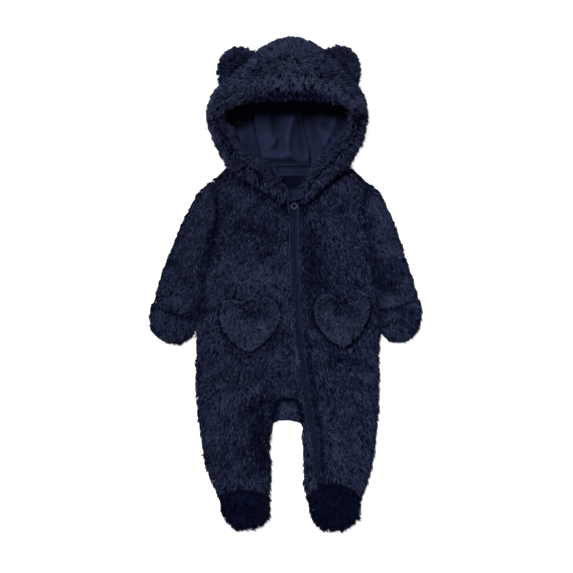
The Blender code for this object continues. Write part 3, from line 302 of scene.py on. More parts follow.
# Jersey guard over the top of the zip, and the knots of the cord at its left
GUARD_MIDDLE, GUARD_HALF = 14.8, 11.2
GUARD_FOOT, GUARD_TALL, GUARD_LOW = 121.2, 16.5, 16.8
GUARD_COVERS = ((14.0, 13.6), (129.5, 11.0))  # the middle and half of what it covers, in x and in y
GUARD_CORD = ((3.0, 136.0, 19.4), (3.3, 124.0, 19.0), (4.2, 113.0, 17.2), (5.6, 101.0, 14.6))

# Pile
PILE_FOOT = 1.3  # the ground cloth below the height that the pile is pressed to at its foot
PRESSED = 1.6  # the pressed pile below the garment
CUFF_FOLD_LEFT = ((-191, -30), (-162, -39), (-134, -48.6))
CUFF_FOLD_RIGHT = ((135, -36.5), (154.4, -33), (177.6, -23), (192, -22.5))
SEAMS_BELOW = 24.0  # the body's seams shorten and darken the pile below this height only
PILE_HEIGHTS = (0.2, 76.0)  # the lowest and the highest that it reaches
DOWN = np.array([0.0, -1.0, 0.0])  # the way that it lies on most pieces
WAVES = 9  # sine waves in each soft unevenness

# Tufts: the soft waves that run through them, with what is added to the pile's seed, and their random parts
PILE_WAVE_COLUMNS = ("name", "size", "seed", "fields", "amount")
PILE_WAVES = (
    ("flow", 34.0, 1, 3, 0.34),
    ("swirl", 9.0, 2, 3, 1.0),
    ("tilt", 17.0, 3, 1, 9.0),
    ("length", 12.0, 4, 1, 0.1),
    ("cloud", 32.0, 6, 1, 0.08),
    ("fleck", 5.0, 7, 1, 0.05),
)
TUFT = 3  # blades of a tuft, which lean and shine alike
TUFT_SWIRL, TUFT_TILT, TUFT_LIGHT = 0.7, 8.0, 0.17
TUFT_LENGTH = (0.7, 1.2)
TILTS = (5, 88)  # the least and the most of a tuft, in degrees

# Blades: half their width, and what is random from one to the next in a tuft
BLADE_HALF = 0.52
BLADE_SPREAD, BLADE_TWIST, BLADE_LIGHT = 0.6, 0.8, 0.2
BLADE_TILT, BLADE_LENGTH, BLADE_WIDTH = (0.8, 1.2), (0.8, 1.15), (0.5, 1.3)
BLADE_PARTS = (0.5, 0.55)  # shares of its length below its sides and above them
BLADE_CURL = (0.5, 1.3)  # shares of its tilt that it leans by in each
BLADE_DROOP = 98  # the most that it leans, in degrees
BLADE_DRAW = 0.6  # how much of their spread the tips of a tuft lose
EDGE_WIDER = 0.7  # how much wider it is where the cloth stands upright
LIGHTS = (0.03, 0.97)  # the darkest and the lightest of them

# A blade's foot, its two sides and its tip on its map: across, up, and how much further up if it is upright.
# Low on the map is painted shade, and the raised foot of an upright blade gets less of it
KITE_COLUMNS = ("across", "height", "raised")
KITE = (
    (0.0, 0.02, 0.55),
    (-0.006, 0.5, 0.28),
    (0.006, 0.5, 0.28),
    (0.0, 0.98, 0.0),
)
KITE_FACES = ((0, 2, 1), (1, 2, 3))

# Tapes under the pile, in plan: the rounded edge of the crotch, and a shoulder
CROTCH_ROUND = (
    (-24.5, -207), (-20, -198.6), (-10.5, -193.9), (5, -193.3), (16, -195.6), (23.2, -197.4), (28, -206),
)
SHOULDER_TAPE = ((92, 166.5), (99, 161.5), (107, 153.5), (115, 145.5), (120.5, 137))

# Pile of each piece: its blades, the seed of its random draws, its length, its lean in degrees, and how much
# its tufts swirl
PILE_COLUMNS = ("blades", "seed", "length", "lean", "swirl")
PILE = {
    "back": (40000, 301, 8.5, 80.0, 0.3),
    "front_left": (72000, 311, 8.8, 58.0, 0.3),
    "front_right": (54000, 321, 8.8, 58.0, 0.3),
    "crotch_gusset": (3000, 331, 6.0, 52.0, 0.3),
    "sleeve_left": (36000, 341, 9.0, 56.0, 0.3),
    "sleeve_right": (36000, 351, 9.0, 56.0, 0.3),
    "cuff_left": (9000, 361, 8.5, 52.0, 0.3),
    "cuff_right": (9000, 371, 8.5, 52.0, 0.3),
    "foot_left_sole": (3000, 381, 6.5, 78.0, 0.6),
    "foot_left_upper": (8000, 386, 7.0, 40.0, 0.9),
    "foot_right_sole": (3000, 391, 6.5, 78.0, 0.6),
    "foot_right_upper": (8000, 396, 7.0, 40.0, 0.9),
    "hood_left": (26000, 411, 9.5, 47.0, 0.5),
    "hood_right": (26000, 421, 9.5, 47.0, 0.5),
    "hood_centre": (24000, 431, 9.5, 47.0, 0.5),
    "hood_facing": (19000, 441, 8.5, 44.0, 0.4),
    "ear_left_front": (4000, 451, 8.5, 44.0, 0.4),
    "ear_left_back": (4000, 452, 8.5, 44.0, 0.4),
    "ear_right_front": (4000, 461, 8.5, 44.0, 0.4),
    "ear_right_back": (4000, 462, 8.5, 44.0, 0.4),
    "pocket_left": (8500, 471, 8.5, 52.0, 0.3),
    "pocket_right": (8500, 481, 8.5, 52.0, 0.3),
}

# Creases: a soft trough, or a ridge where its depth is below zero, between two places in plan
CREASE_BEND = 0.5  # how far its line is bent aside, in half widths
CREASE_FADE = 0.3  # how far from each end it fades, as a share of its length
CREASE_COLUMNS = ("x0", "y0", "x1", "y1", "half_width", "depth")
BODY_CREASES = (
    (-84, 92, -22, 70, 9.0, 1.6),
    (-60, 66, -8, 48, 10.0, -1.1),
    (-100, 40, -62, 22, 8.0, 1.3),
    (-112, -2, -70, 2, 9.0, 1.0),
    (-38, 28, 2, -6, 8.0, 1.1),
    (-58, -128, -14, -156, 7.0, 2.0),
    (-74, -150, -34, -184, 8.0, -1.2),
    (-52, -186, -42, -276, 9.0, 2.0),
    (-98, -176, -84, -256, 11.0, 1.2),
    (-70, -205, -64, -288, 9.0, -1.0),
    (-118, -116, -84, -132, 9.0, 1.4),
    (30, 96, 34, 36, 8.0, 1.7),
    (52, 92, 64, 30, 10.0, -1.2),
    (84, 78, 108, 54, 8.0, 1.4),
    (100, 20, 126, -4, 8.0, 1.1),
    (40, 6, 34, -40, 7.0, 1.5),
    (52, -150, 60, -240, 9.0, 1.2),
    (78, -160, 84, -262, 11.0, -1.1),
    (104, -180, 100, -262, 9.0, 1.5),
    (128, -122, 92, -140, 8.0, 1.3),
    (6, -128, 26, -152, 6.0, 1.4),
)
SLEEVE_CREASES = (
    (-158, 48, -122, 26, 7.0, 1.8),
    (-166, 20, -128, 4, 6.0, -1.2),
    (-146, 74, -118, 56, 7.0, 1.2),
    (-176, -4, -138, -18, 6.0, 1.4),
    (-132, 104, -110, 92, 7.0, 1.0),
    (164, 40, 130, 12, 7.0, 1.9),
    (170, 18, 138, 0, 6.0, -1.2),
    (152, 76, 126, 56, 7.0, 1.3),
    (180, -4, 142, -14, 6.0, 1.4),
    (136, 108, 120, 96, 7.0, 1.0),
)
HOOD_CREASES = (
    (-92, 206, -72, 214, 6.0, 1.4),
    (-70, 186, -52, 200, 6.0, 1.2),
    (98, 204, 78, 212, 6.0, 1.4),
    (76, 182, 58, 196, 6.0, 1.2),
    (-84, 258, -70, 290, 8.0, 1.2),
    (92, 256, 82, 290, 8.0, 1.2),
    (-16, 288, -12, 330, 9.0, 1.2),
    (22, 288, 26, 326, 9.0, -1.0),
)
LINING_CREASES = (
    (9, 243, 5, 188, 6.0, -4.5),
    (-14, 240, -10, 194, 5.0, 3.4),
    (-23, 194, -11, 216, 3.0, -2.4),
    (24, 240, 25, 188, 5.0, 3.6),
    (-30, 181, 2, 185, 4.5, -2.4),
    (2, 185, 28, 176, 4.5, -2.2),
    (-28, 174, 26, 171, 3.0, 2.4),
    (-76, 224, -50, 227, 3.5, 3.4),
    (-66, 216, -51, 183, 9.0, -4.6),
    (-60, 250, -54, 232, 4.0, 2.4),
    (53, 195, 71, 242, 5.0, -5.5),
    (64, 187, 87, 224, 4.2, -4.6),
    (55, 232, 74, 209, 3.0, 4.6),
    (58, 212, 71, 198, 2.8, 3.8),
    (72, 240, 86, 221, 2.8, 3.8),
    (37, 244, 42, 182, 5.5, 4.6),
)

# Patches of painted light and painted shade on the pile, where it looks lighter or darker in the light as if
# it lay another way; it is only painted, not turned
PATCH_COLUMNS = ("x", "y", "reach_x", "reach_y", "slant", "shade")
PAINTED_PATCHES = (
    (-40, 79, 40, 13, -0.20, -0.325),
    (-50, 14, 52, 20, 0.05, 0.25),
    (39, 32, 17, 58, 0.00, -0.425),
    (140, 86, 18, 16, 0.00, 0.15),
    (144, 10, 20, 18, 0.00, -0.325),
    (-51, -40, 17, 9, 0.00, -0.15),
    (86, -28, 14, 9, 0.00, -0.15),
    (75, -235, 11, 40, 0.00, 0.15),
    (-37, -218, 13, 52, 0.00, -0.425),
    (8, 286, 62, 7, 0.00, 0.35),
    (-100, -60, 18, 30, 0.00, 0.175),
    (-95, -170, 20, 40, 0.00, 0.15),
)

# Lines along which the pile is in shadow: its depth is how much darker it is
SHADOWS = (
    (-93, 104, -104, 66, 6.0, 0.30),
    (-105, 70, -117, 4, 7.5, 0.34),
    (-115, 6, -124, -52, 7.5, 0.30),
    (120, 96, 127, 28, 5.5, 0.28),
    (127, 30, 135, -72, 6.0, 0.28),
    (-62, -194, -14, -156, 5.0, 0.20),
    (-46, -184, -42, -270, 7.0, 0.06),
    (-92, -226, -78, -268, 7.0, 0.20),
    (-82, 158, -14, 118, 8.0, 0.26),
    (92, 158, 44, 128, 5.0, 0.20),
    (-104, -132, -70, -128, 7.0, 0.16),
    (60, -96, 104, -108, 8.0, 0.16),
    (146, 34, 166, 22, 7.0, 0.20),
    (-168, 34, -140, 26, 7.0, 0.14),
)

# Pile: its sheen, and its colours from the foot of a dark blade to the tip of a light one. The dark at a
# blade's foot is painted shade deep in the pile
FIBRES = {
    "pile": (
        0.03,
        (
            (0.0, (0.0004, 0.0011, 0.0072)),
            (0.24, (0.0022, 0.0040, 0.0160)),
            (0.52, (0.0188, 0.0250, 0.0580)),
            (1.0, (0.0565, 0.0675, 0.1210)),
        ),
    ),
    "foot_pile": (
        0.02,
        (
            (0.0, (0.0001, 0.0004, 0.0036)),
            (0.2, (0.0004, 0.0010, 0.0066)),
            (0.5, (0.0018, 0.0038, 0.0185)),
            (1.0, (0.0110, 0.0160, 0.0480)),
        ),
    ),
}
# The other finishes: their darkest and their lightest colour, and what else they differ in
GROUNDS = {
    # The ground cloth is coloured darker than the pile: painted shade between the blades and between the
    # layers at the neck
    "ground": ((0.0007, 0.0013, 0.0066), (0.0019, 0.0032, 0.0128)),
    "foot_ground": ((0.0010, 0.0015, 0.0050), (0.0025, 0.0035, 0.0110)),
}
KNIT_COLUMNS = ("dark", "light", "rib", "sheen", "rough", "weft")
KNITS = {
    "jersey": ((0.0070, 0.0096, 0.0258), (0.0114, 0.0153, 0.0378), 330.0, 0.02, 0.72, False),
    # The guard is the jersey made darker: painted shade
    "guard": ((0.0044, 0.0064, 0.0190), (0.0084, 0.0112, 0.0300), 330.0, 0.02, 0.72, False),
    "tape": ((0.0042, 0.0060, 0.0178), (0.0100, 0.0130, 0.0335), 300.0, 0.02, 0.72, True),
    "edge": ((0.0070, 0.0098, 0.0270), (0.0125, 0.0165, 0.0420), 420.0, 0.05, 0.8, False),
    "thread": ((0.0120, 0.0150, 0.0370), (0.0220, 0.0260, 0.0580), 700.0, 0.05, 0.72, False),
}
HARD_COLUMNS = ("dark", "light", "rough", "metal", "specular", "scale")
HARD_PARTS = {
    "coil": ((0.0056, 0.0080, 0.0235), (0.0112, 0.0148, 0.0395), 0.5, 0.0, 0.06, 300.0),
    "metal": ((0.0170, 0.0200, 0.0400), (0.0340, 0.0380, 0.0700), 0.4, 0.9, 0.3, 500.0),
}
SHADER_INPUTS = (
    "Roughness", "Metallic", "Specular IOR Level", "Sheen Weight", "Sheen Roughness", "Sheen Tint",
)
FINISH = {}  # the finished materials by name

# Room
LAMP_COLUMNS = ("name", "strength", "spread", "towards")
LAMPS = (
    ("window", 4.6, 0.30, (-0.32, 0.46, 1.0)),
    ("fill", 0.16, 1.2, (0.9, -0.2, 1.3)),
)
CAMERA_AT = (1.45, -2.9, 2600.0)
PICTURE_WIDTH = 830.85  # how much of the floor the picture shows across
SENSOR = 36.0


def table(columns, rows):
    """The rows as one array for each named column."""
    return dict(zip(columns, np.array(rows, float).T))


BODY = table(BODY_COLUMNS, BODY_ROWS)


def records(columns, rows):
    """Each row as a dictionary of its named values."""
    return [dict(zip(columns, row)) for row in rows]


def ease(t):
    """A smooth step from 0 to 1."""
    t = np.clip(t, 0.0, 1.0)
    return t * t * (3.0 - 2.0 * t)


def bell(distance, reach):
    """1 at no distance, and fading to 0 within about twice the reach."""
    return np.exp(-((distance / reach) ** 2))


def oval(x, y, middle, reach, power=2):
    """1 in the middle of an oval, and fading to 0 beyond its reach in x and y, faster with a higher power."""
    return np.exp(-(((x - middle[0]) / reach[0]) ** power) - ((y - middle[1]) / reach[1]) ** power)


def from_middle(x, low, high):
    """From -1 at a low bound to 1 at a high one, and no further beyond them."""
    return np.clip((2 * x - low - high) / (high - low), -1, 1)


def along(points, count):
    """Points at equal steps along a polyline."""
    points = np.array(points, float)
    run = np.r_[0, np.cumsum(np.linalg.norm(np.diff(points, axis=0), axis=1))]
    at = np.linspace(0, run[-1], count)
    return np.stack([np.interp(at, run, c) for c in points.T], -1)


def smooth(rows, count):
    """The rows at equal steps of smooth curves through them, with the slope at a row half the step between
    its neighbours."""
    p = np.array(rows, float)
    slope = np.gradient(p, axis=0)
    at = np.linspace(0, len(p) - 1, count)
    i = np.minimum(at.astype(int), len(p) - 2)
    t = (at - i).reshape(-1, *[1] * (p.ndim - 1))
    s = ease(t)
    return (1 - s) * p[i] + s * p[i + 1] + t * (1 - t) ** 2 * slope[i] - t * t * (1 - t) * slope[i + 1]


def finer(grid, down=FINE, across=FINE, wrap=False):
    """A grid at more steps both ways, on smooth curves through its points."""
    columns = grid.shape[1]
    if wrap:
        grid = np.concatenate([grid[:, -2:], grid, grid[:, :3]], 1)
    grid = smooth(grid, (len(grid) - 1) * down + 1).swapaxes(0, 1)
    grid = smooth(grid, (len(grid) - 1) * across + 1).swapaxes(0, 1)
    return grid[:, 2 * across : (2 + columns) * across] if wrap else grid


def stack(x, y, z):
    """Points from their three coordinates."""
    x, y, z = np.broadcast_arrays(x, y, z)
    return np.stack([x, y, z], -1).astype(float)


def unit(v):
    """The same vectors, 1 long."""
    return v / np.maximum(np.linalg.norm(v, axis=-1, keepdims=True), 1e-9)


def normals(grid, wrap=False):
    """Unit normals of a grid of points, from its two directions."""
    if wrap:
        return normals(np.concatenate([grid[:, -1:], grid, grid[:, :1]], 1))[:, 1:-1]
    return unit(np.cross(np.gradient(grid, axis=0), np.gradient(grid, axis=1)))


def upward(grid, wrap=False):
    """Unit normals of a grid of points on its upper side."""
    n = normals(grid, wrap)
    return n * np.sign(n[..., 2:])


def level(grid, way):
    """Unit normals of a flat grid of points: all straight up for 1, and down for -1."""
    return np.broadcast_to(np.array([0.0, 0.0, float(way)]), grid.shape)


def waves(points, size, seed, fields=1):
    """Soft unevenness about 1 high: sine waves about that long, each with its own direction and phase."""
    rng = np.random.default_rng(seed)
    way = unit(rng.normal(size=(WAVES, points.shape[-1]))) * rng.uniform(0.6, 1.6, (WAVES, 1))
    way = way * 2 * np.pi / size
    phase = rng.uniform(0, 2 * np.pi, (fields, WAVES))
    return np.sin((points @ way.T)[..., None, :] + phase).sum(-1) / WAVES**0.5


def beside(x, y, lines, reach):
    """1 on some polylines in plan, and fading to 0 within about twice the reach."""
    return bell(nearest_on(x, y, lines)[0], reach)


def to_points(root, points):
    """How far each root is from the nearest of some points, in plan."""
    return np.linalg.norm(root[:, None, :2] - points[None], axis=-1).min(1)


def nearest_on(x, y, lines):
    """From each point to the nearest place on some polylines, in plan: how far it is, and which way."""
    points = np.stack(np.broadcast_arrays(x, y), -1).astype(float)
    nearest = np.full(points.shape[:-1], np.inf)
    way = np.zeros_like(points)
    for line in lines:
        line = np.array(line, float)
        for a, b in zip(line[:-1], line[1:]):
            step = b - a
            t = np.clip(((points - a) @ step) / max(step @ step, 1e-9), 0, 1)
            to = a + t[..., None] * step - points
            far = np.linalg.norm(to, axis=-1)
            nearer = far < nearest
            nearest[nearer], way[nearer] = far[nearer], to[nearer]
    return nearest, unit(way)


def inside(x, y, outline):
    """Whether each point is inside a closed outline, by how often a line to its right crosses it."""
    p = np.array(outline, float)
    q = np.roll(p, -1, 0)
    spans = (p[:, 1] > y[..., None]) != (q[:, 1] > y[..., None])
    at = p[:, 0] + (y[..., None] - p[:, 1]) * (q[:, 0] - p[:, 0]) / (q[:, 1] - p[:, 1] + 1e-12)
    return (spans & (x[..., None] < at)).sum(-1) % 2 == 1


def creases(x, y, rows):
    """How deep the creases are at each place: each is a bell across its line that fades at its two ends. The
    line is bent a little, as a sine along it."""
    depth = np.zeros(np.broadcast(x, y).shape)
    for c in records(CREASE_COLUMNS, rows):
        run = np.array([c["x1"] - c["x0"], c["y1"] - c["y0"]], float)
        long = np.linalg.norm(run)
        ahead = ((x - c["x0"]) * run[0] + (y - c["y0"]) * run[1]) / long
        bend = c["half_width"] * CREASE_BEND * np.sin(3.0 * ahead / long + c["x0"])
        aside = ((y - c["y0"]) * run[0] - (x - c["x0"]) * run[1]) / long - bend
        reach = CREASE_FADE * long
        ends = ease((ahead + reach) / reach / 2) * ease((long + reach - ahead) / reach / 2)
        depth += c["depth"] * ends * bell(aside, c["half_width"])
    return depth


def shade_painted_on_pile(x, y):
    """How much lighter or darker the pile is painted at each place: painted light and painted shade, a soft
    oval for each patch, less the painted shadows.
    """
    shade = -creases(x, y, SHADOWS)
    for p in records(PATCH_COLUMNS, PAINTED_PATCHES):
        u = x - p["x"]
        v = y - p["y"] - p["slant"] * u
        shade += p["shade"] * oval(u, v, (0, 0), (p["reach_x"], p["reach_y"]))
    return shade


# --- meshes ---


def piece(name, vertices, faces, finish, closed=True):
    """One object from vertices in millimetres. A closed one has its doubles merged and faces outwards."""
    mesh = bpy.data.meshes.new(name)
    mesh.from_pydata((vertices * MM).tolist(), [], faces.tolist())
    if closed:
        work = bmesh.new()
        work.from_mesh(mesh)
        bmesh.ops.remove_doubles(work, verts=work.verts, dist=1e-6)
        bmesh.ops.recalc_face_normals(work, faces=work.faces)
        work.to_mesh(mesh)
        work.free()
    mesh.shade_smooth()
    mesh.materials.append(FINISH[finish])
    made = bpy.data.objects.new(name, mesh)
    bpy.context.scene.collection.objects.link(made)
    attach(made, "garment")
    return made


def wall_faces(shape, keep, wrap, shut):
    """Quads of the outer grid, the same turned over for the inner one, and a strip along each open edge. The
    last row is one point where the wall is shut there."""
    rows, columns = shape
    index = np.arange(rows * columns).reshape(rows, columns)
    index = np.hstack([index, index[:, :1]]) if wrap else index
    a, b, c, d = index[:-1, :-1], index[:-1, 1:], index[1:, 1:], index[1:, :-1]
    there = np.pad(keep, 1)
    if wrap:
        there[1:-1, 0], there[1:-1, -1] = keep[:, -1], keep[:, 0]
    if shut:
        there[-1] = True
    second = rows * columns
    faces = [np.stack([a, b, c, d], -1)[keep], np.stack([a, d, c, b], -1)[keep] + second]
    above, right, below, left = there[:-2, 1:-1], there[1:-1, 2:], there[2:, 1:-1], there[1:-1, :-2]
    for p, q, next_one in ((a, b, above), (b, c, right), (c, d, below), (d, a, left)):
        rim = keep & ~next_one
        faces.append(np.stack([q[rim], p[rim], p[rim] + second, q[rim] + second], -1))
    return np.concatenate(faces)


def cloth(node, outer, inner, finish="ground", keep=None, wrap=False, shut=False):
    """A wall between two grids of points, closed along every open edge."""
    rows, columns = outer.shape[:2]
    keep = np.ones((rows - 1, columns - (not wrap)), bool) if keep is None else keep
    vertices = np.vstack([outer.reshape(-1, 3), inner.reshape(-1, 3)])
    return piece(f"{node}_cloth", vertices, wall_faces((rows, columns), keep, wrap, shut), finish)


def cord_along(name, line, z, radius, finish="ground", flat=0.6):
    """A cord carried along a line in plan, closed at its two ends. flat is its height over its width."""
    path = stack(line[:, 0], line[:, 1], z)
    ahead = unit(np.gradient(path, axis=0))
    aside = unit(np.cross(ahead, (0.0, 0.0, 1.0)))[:, None]
    turn = (2 * np.pi * np.arange(CORD_AROUND) / CORD_AROUND)[None, :, None]
    size = np.full((len(path), 1, 1), radius)
    size[[0, -1]] = radius * 0.05
    rings = path[:, None] + size * (np.cos(turn) * aside + flat * np.sin(turn) * np.array([0, 0, 1.0]))
    index = np.arange(len(path) * CORD_AROUND).reshape(-1, CORD_AROUND)
    after = np.roll(index, -1, 1)
    sides = np.stack([index[:-1], after[:-1], after[1:], index[1:]], -1).reshape(-1, 4)
    return piece(name, rings.reshape(-1, 3), sides, finish)


# --- pile ---


def roots(skin, facing, count, seed, keep=None, wrap=False):
    """Places on a skin, and its normals there: a cell is drawn by its area, and then a place in it."""
    rng = np.random.default_rng(seed)
    if wrap:
        skin, facing = (np.concatenate([g, g[:, :1]], 1) for g in (skin, facing))
    corner = skin[:-1, :-1], skin[:-1, 1:], skin[1:, 1:], skin[1:, :-1]
    area = np.linalg.norm(np.cross(corner[2] - corner[0], corner[3] - corner[1]), axis=-1)
    area = area if keep is None else area * keep
    cell = rng.choice(area.size, count, p=area.ravel() / area.sum())
    i, j = np.unravel_index(cell, area.shape)
    s, t = rng.random((2, count, 1))

    def at(grid):
        first = (1 - t) * grid[i, j] + t * grid[i, j + 1]
        return (1 - s) * first + s * ((1 - t) * grid[i + 1, j] + t * grid[i + 1, j + 1])

    return at(skin), unit(at(facing))


def tufts(root, up, nap, lean, length, shade, pile, rng):
    """How each tuft lies: its direction along the skin, its tilt from the normal, its length and how light it
    is. Each is what it is given, with soft waves and a random part added."""
    count = len(root)
    wave = {}
    for w in records(PILE_WAVE_COLUMNS, PILE_WAVES):
        wave[w["name"]] = w["amount"] * waves(root, w["size"], pile["seed"] + w["seed"], w["fields"])
    wander = wave["flow"] + wave["swirl"] * pile["swirl"]
    wander += rng.normal(size=(count, 3)) * TUFT_SWIRL * pile["swirl"]
    flow = nap + wander
    flow = unit(flow - (flow * up).sum(-1, keepdims=True) * up)
    tilt = lean + wave["tilt"][:, 0] + rng.normal(size=count) * TUFT_TILT
    tilt = np.radians(np.clip(tilt, *TILTS))
    long = length * rng.uniform(*TUFT_LENGTH, count) * (1 + wave["length"][:, 0])
    light = 0.5 + wave["cloud"][:, 0] + wave["fleck"][:, 0]
    return flow, tilt, long, light + rng.normal(size=count) * TUFT_LIGHT + shade


def kites(root, up, flow, tilt, long, rng):
    """A blade at each root, as a kite of its foot, its two sides and its tip, and how upright it is. It curls
    over: it leans less than its tilt up to its sides and more beyond them. The tips of a tuft draw together
    again, and each blade is twisted a little about its length."""
    count = len(root)
    spread = rng.normal(size=(count, 3)) * BLADE_SPREAD
    spread -= (spread * up).sum(-1, keepdims=True) * up
    tilt = (tilt * rng.uniform(*BLADE_TILT, count))[:, None]
    long = (long * rng.uniform(*BLADE_LENGTH, count))[:, None]
    low, high = tilt * BLADE_CURL[0], np.minimum(tilt * BLADE_CURL[1], np.radians(BLADE_DROOP))
    lower, upper = (part * long for part in BLADE_PARTS)
    foot = root + spread
    middle = foot + lower * (np.cos(low) * up + np.sin(low) * flow)
    tip = middle - BLADE_DRAW * spread + upper * (np.cos(high) * up + np.sin(high) * flow)
    twist = rng.uniform(-BLADE_TWIST, BLADE_TWIST, (count, 1))
    across = unit(np.cross(tip - foot, up)) * np.cos(twist) + up * np.sin(twist)
    wider = 1 + EDGE_WIDER - EDGE_WIDER * np.clip(up[:, 2:], 0, 1)
    wide = across * BLADE_HALF * rng.uniform(*BLADE_WIDTH, (count, 1)) * wider
    vertices = np.stack([foot, middle - wide, middle + wide, tip], 1)
    vertices[..., 2] = np.clip(vertices[..., 2], *PILE_HEIGHTS)
    return vertices, unit(tip - foot)[:, 2]


def fibre_map(light, upright):
    """The map of each blade's two faces: how light it is across, and its height up, where the foot of an
    upright blade counts as higher because less of it is hidden: it gets less of the painted shade at a
    blade's foot, and is painted lighter."""
    k = table(KITE_COLUMNS, KITE)
    corner = np.ravel(KITE_FACES)
    stand = ease((upright - 0.5) / 0.45)[:, None]
    across = light[:, None] + k["across"][corner]
    height = k["height"][corner] + stand * k["raised"][corner]
    return np.stack([across, height], -1).reshape(-1).astype(np.float32)


def blades(name, root, up, nap, lean, length, shade, pile, finish):
    """Pile as one mesh: at each root a tuft of TUFT blades that lean the same way and shine alike."""
    rng = np.random.default_rng(pile["seed"])
    lies = tufts(root, up, nap, lean, length, shade, pile, rng)
    root, up, flow, tilt, long, light = (np.repeat(a, TUFT, 0) for a in (root, up, *lies))
    vertices, upright = kites(root, up, flow, tilt, long, rng)
    first = len(KITE) * np.arange(len(root))[:, None, None]
    faces = (first + np.array(KITE_FACES)).reshape(-1, 3)
    made = piece(name, vertices.reshape(-1, 3), faces, finish, closed=False)
    light = np.clip(light + rng.normal(size=len(root)) * BLADE_LIGHT, *LIGHTS)
    uv = fibre_map(light, upright)
    for layer in ("fibre", "OFBake"):
        made.data.uv_layers.new(name=layer).data.foreach_set("uv", uv)
    return made


def grow(node, skin, facing, nap=DOWN, finish="pile", keep=None, wrap=False, turn=None, trim=None, bare=None,
         painted_light=None, stand=None):
    """Pile on a skin, shorter beside a seam and painted darker there, as painted shade in the seam's groove;
    the painted patches and shadows are on it too. Of the functions of its roots, turn says how the normals
    turn outwards near an edge, trim what share of the length is left, bare where there is none, painted_light
    how much lighter it is painted, below zero darker, and stand how many degrees more upright it is."""
    pile = dict(zip(PILE_COLUMNS, PILE[node]))
    root, up = roots(skin, facing, pile["blades"] // TUFT, pile["seed"], keep, wrap)
    if bare is not None:
        there = ~bare(root)
        root, up = root[there], up[there]
    if turn is not None:
        away, weight = turn(root)
        up = unit(up * (1 - weight) + away * weight)
    x, y, z = root.T
    flow = nap(root) if callable(nap) else np.broadcast_to(nap, root.shape)
    seam = pulled_in(x, y) * (z < SEAMS_BELOW) * ease(edge_distance(x, y) / 8.0)
    length = pile["length"] * (1 - 0.4 * seam) * (1.0 if trim is None else trim(root))
    # Painted light and painted shade: the patches and shadows, and painted shade beside the seams
    shade = shade_painted_on_pile(x, y) * (up[:, 2] > -0.5) - 0.3 * seam
    shade = shade if painted_light is None else shade + painted_light(root)
    lean = pile["lean"] - (0.0 if stand is None else stand(root))
    return blades(f"{node}_pile", root, up, flow, lean, length, shade, pile, finish)


def sewn(node):
    """Hides the frame's own cut piece of that name, which this one stands in for."""
    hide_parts(node)


# --- body ---


def body_edges():
    """The polylines where the front and the back are folded or sewn together at the garment's outline."""
    feet = [table(FOOT_COLUMNS, rows) for rows in (FOOT_LEFT, FOOT_RIGHT)]
    below = np.flatnonzero(BODY["y"] < -200)

    def leg(outer, inner, foot, first, second):
        down = list(zip(BODY[outer], BODY["y"]))
        toe = list(zip(foot[first], foot["y"])) + list(zip(foot[second][::-1], foot["y"][::-1]))
        up = list(zip(BODY[inner][below][::-1], BODY["y"][below][::-1]))
        return down + toe + up

    left = leg("side_left", "leg_left", feet[0], "left", "right")
    right = leg("side_right", "leg_right", feet[1], "right", "left")
    outline = left + list(GUSSET_EDGE) + right[::-1]
    return [outline, [ARMHOLE_LEFT[0], SHOULDER_LEFT], [ARMHOLE_RIGHT[0], SHOULDER_RIGHT]]


def edge_distance(x, y):
    """How far each place is from the garment's outline below the hood."""
    return nearest_on(x, y, body_edges())[0]


def gusset_seam():
    """The gusset's upper seam in plan: a flat arch over its two corners."""
    t = np.linspace(-1, 1, 9)
    x, y = GUSSET_MIDDLE
    return np.stack([x + GUSSET_HALF * t, y + CROTCH_RISE * (1 - t**4)], -1)


def beside_gusset(root):
    """1 on the gusset's seam, fading within a few millimetres of it."""
    return beside(root[:, 0], root[:, 1], [gusset_seam()], 3.2)


def thicker_edge(x, y, keep, more=2.2):
    """How densely the pile grows on each cell of a plan: more of it near the body's edges, the most beside
    the cuffs."""
    x, y = (0.25 * (g[:-1, :-1] + g[1:, :-1] + g[:-1, 1:] + g[1:, 1:]) for g in (x, y))
    by_cuffs = 1 + 2 * bell(y + 45, 28)
    return keep * (1 + more * by_cuffs * bell(edge_distance(x, y), 5.0))


def seam_lines():
    """The seams in plan that the cloth is pulled in at: armholes, neck, gusset and the two insteps."""
    feet = zip((FOOT_LEFT, FOOT_RIGHT), INSTEP_RISE)
    insteps = [np.stack(foot_plan(rows, rise), -1)[0, ::FINE] for rows, rise in feet]
    return [ARMHOLE_LEFT, ARMHOLE_RIGHT, NECK_LEFT, NECK_RIGHT, gusset_seam(), *insteps]


def pulled_in(x, y):
    """1 on a seam, fading within a few millimetres of it."""
    return beside(x, y, seam_lines(), 4.0)


def beside_pocket(x, y):
    """1 just outside a pocket's edge, where the front is in its shadow."""
    return beside(x, y, [[*heart, heart[0]] for heart in (HEART_LEFT, HEART_RIGHT)], 5.2)


def turn_out(reach=9.0):
    """Near the body's edges the pile turns outwards."""

    def turn(root):
        far, way = nearest_on(root[:, 0], root[:, 1], body_edges())
        return stack(way[:, 0], way[:, 1], 0.0), 0.85 * (1 - ease(far / reach))[:, None]

    return turn


def wall_at(d):
    """How thick the fleece is at a distance from the outline."""
    return CLOTH_RIM + (CLOTH - CLOTH_RIM) * ease(d / RIM_REACH)


def back_low(x, y):
    """The back's underside: flat on the surface, and a little off it at the side seams."""
    return RIM_RISE * (1 - ease(edge_distance(x, y) / RIM_REACH))


def back_high(x, y):
    """The back's upper side: its wall above its underside."""
    return back_low(x, y) + wall_at(edge_distance(x, y))


def front_low(x, y):
    """The fronts' underside: on the back at the seams, and standing off it by the loft further in."""
    return back_high(x, y) + LAID + LOFT * ease(edge_distance(x, y) / LOFT_REACH)


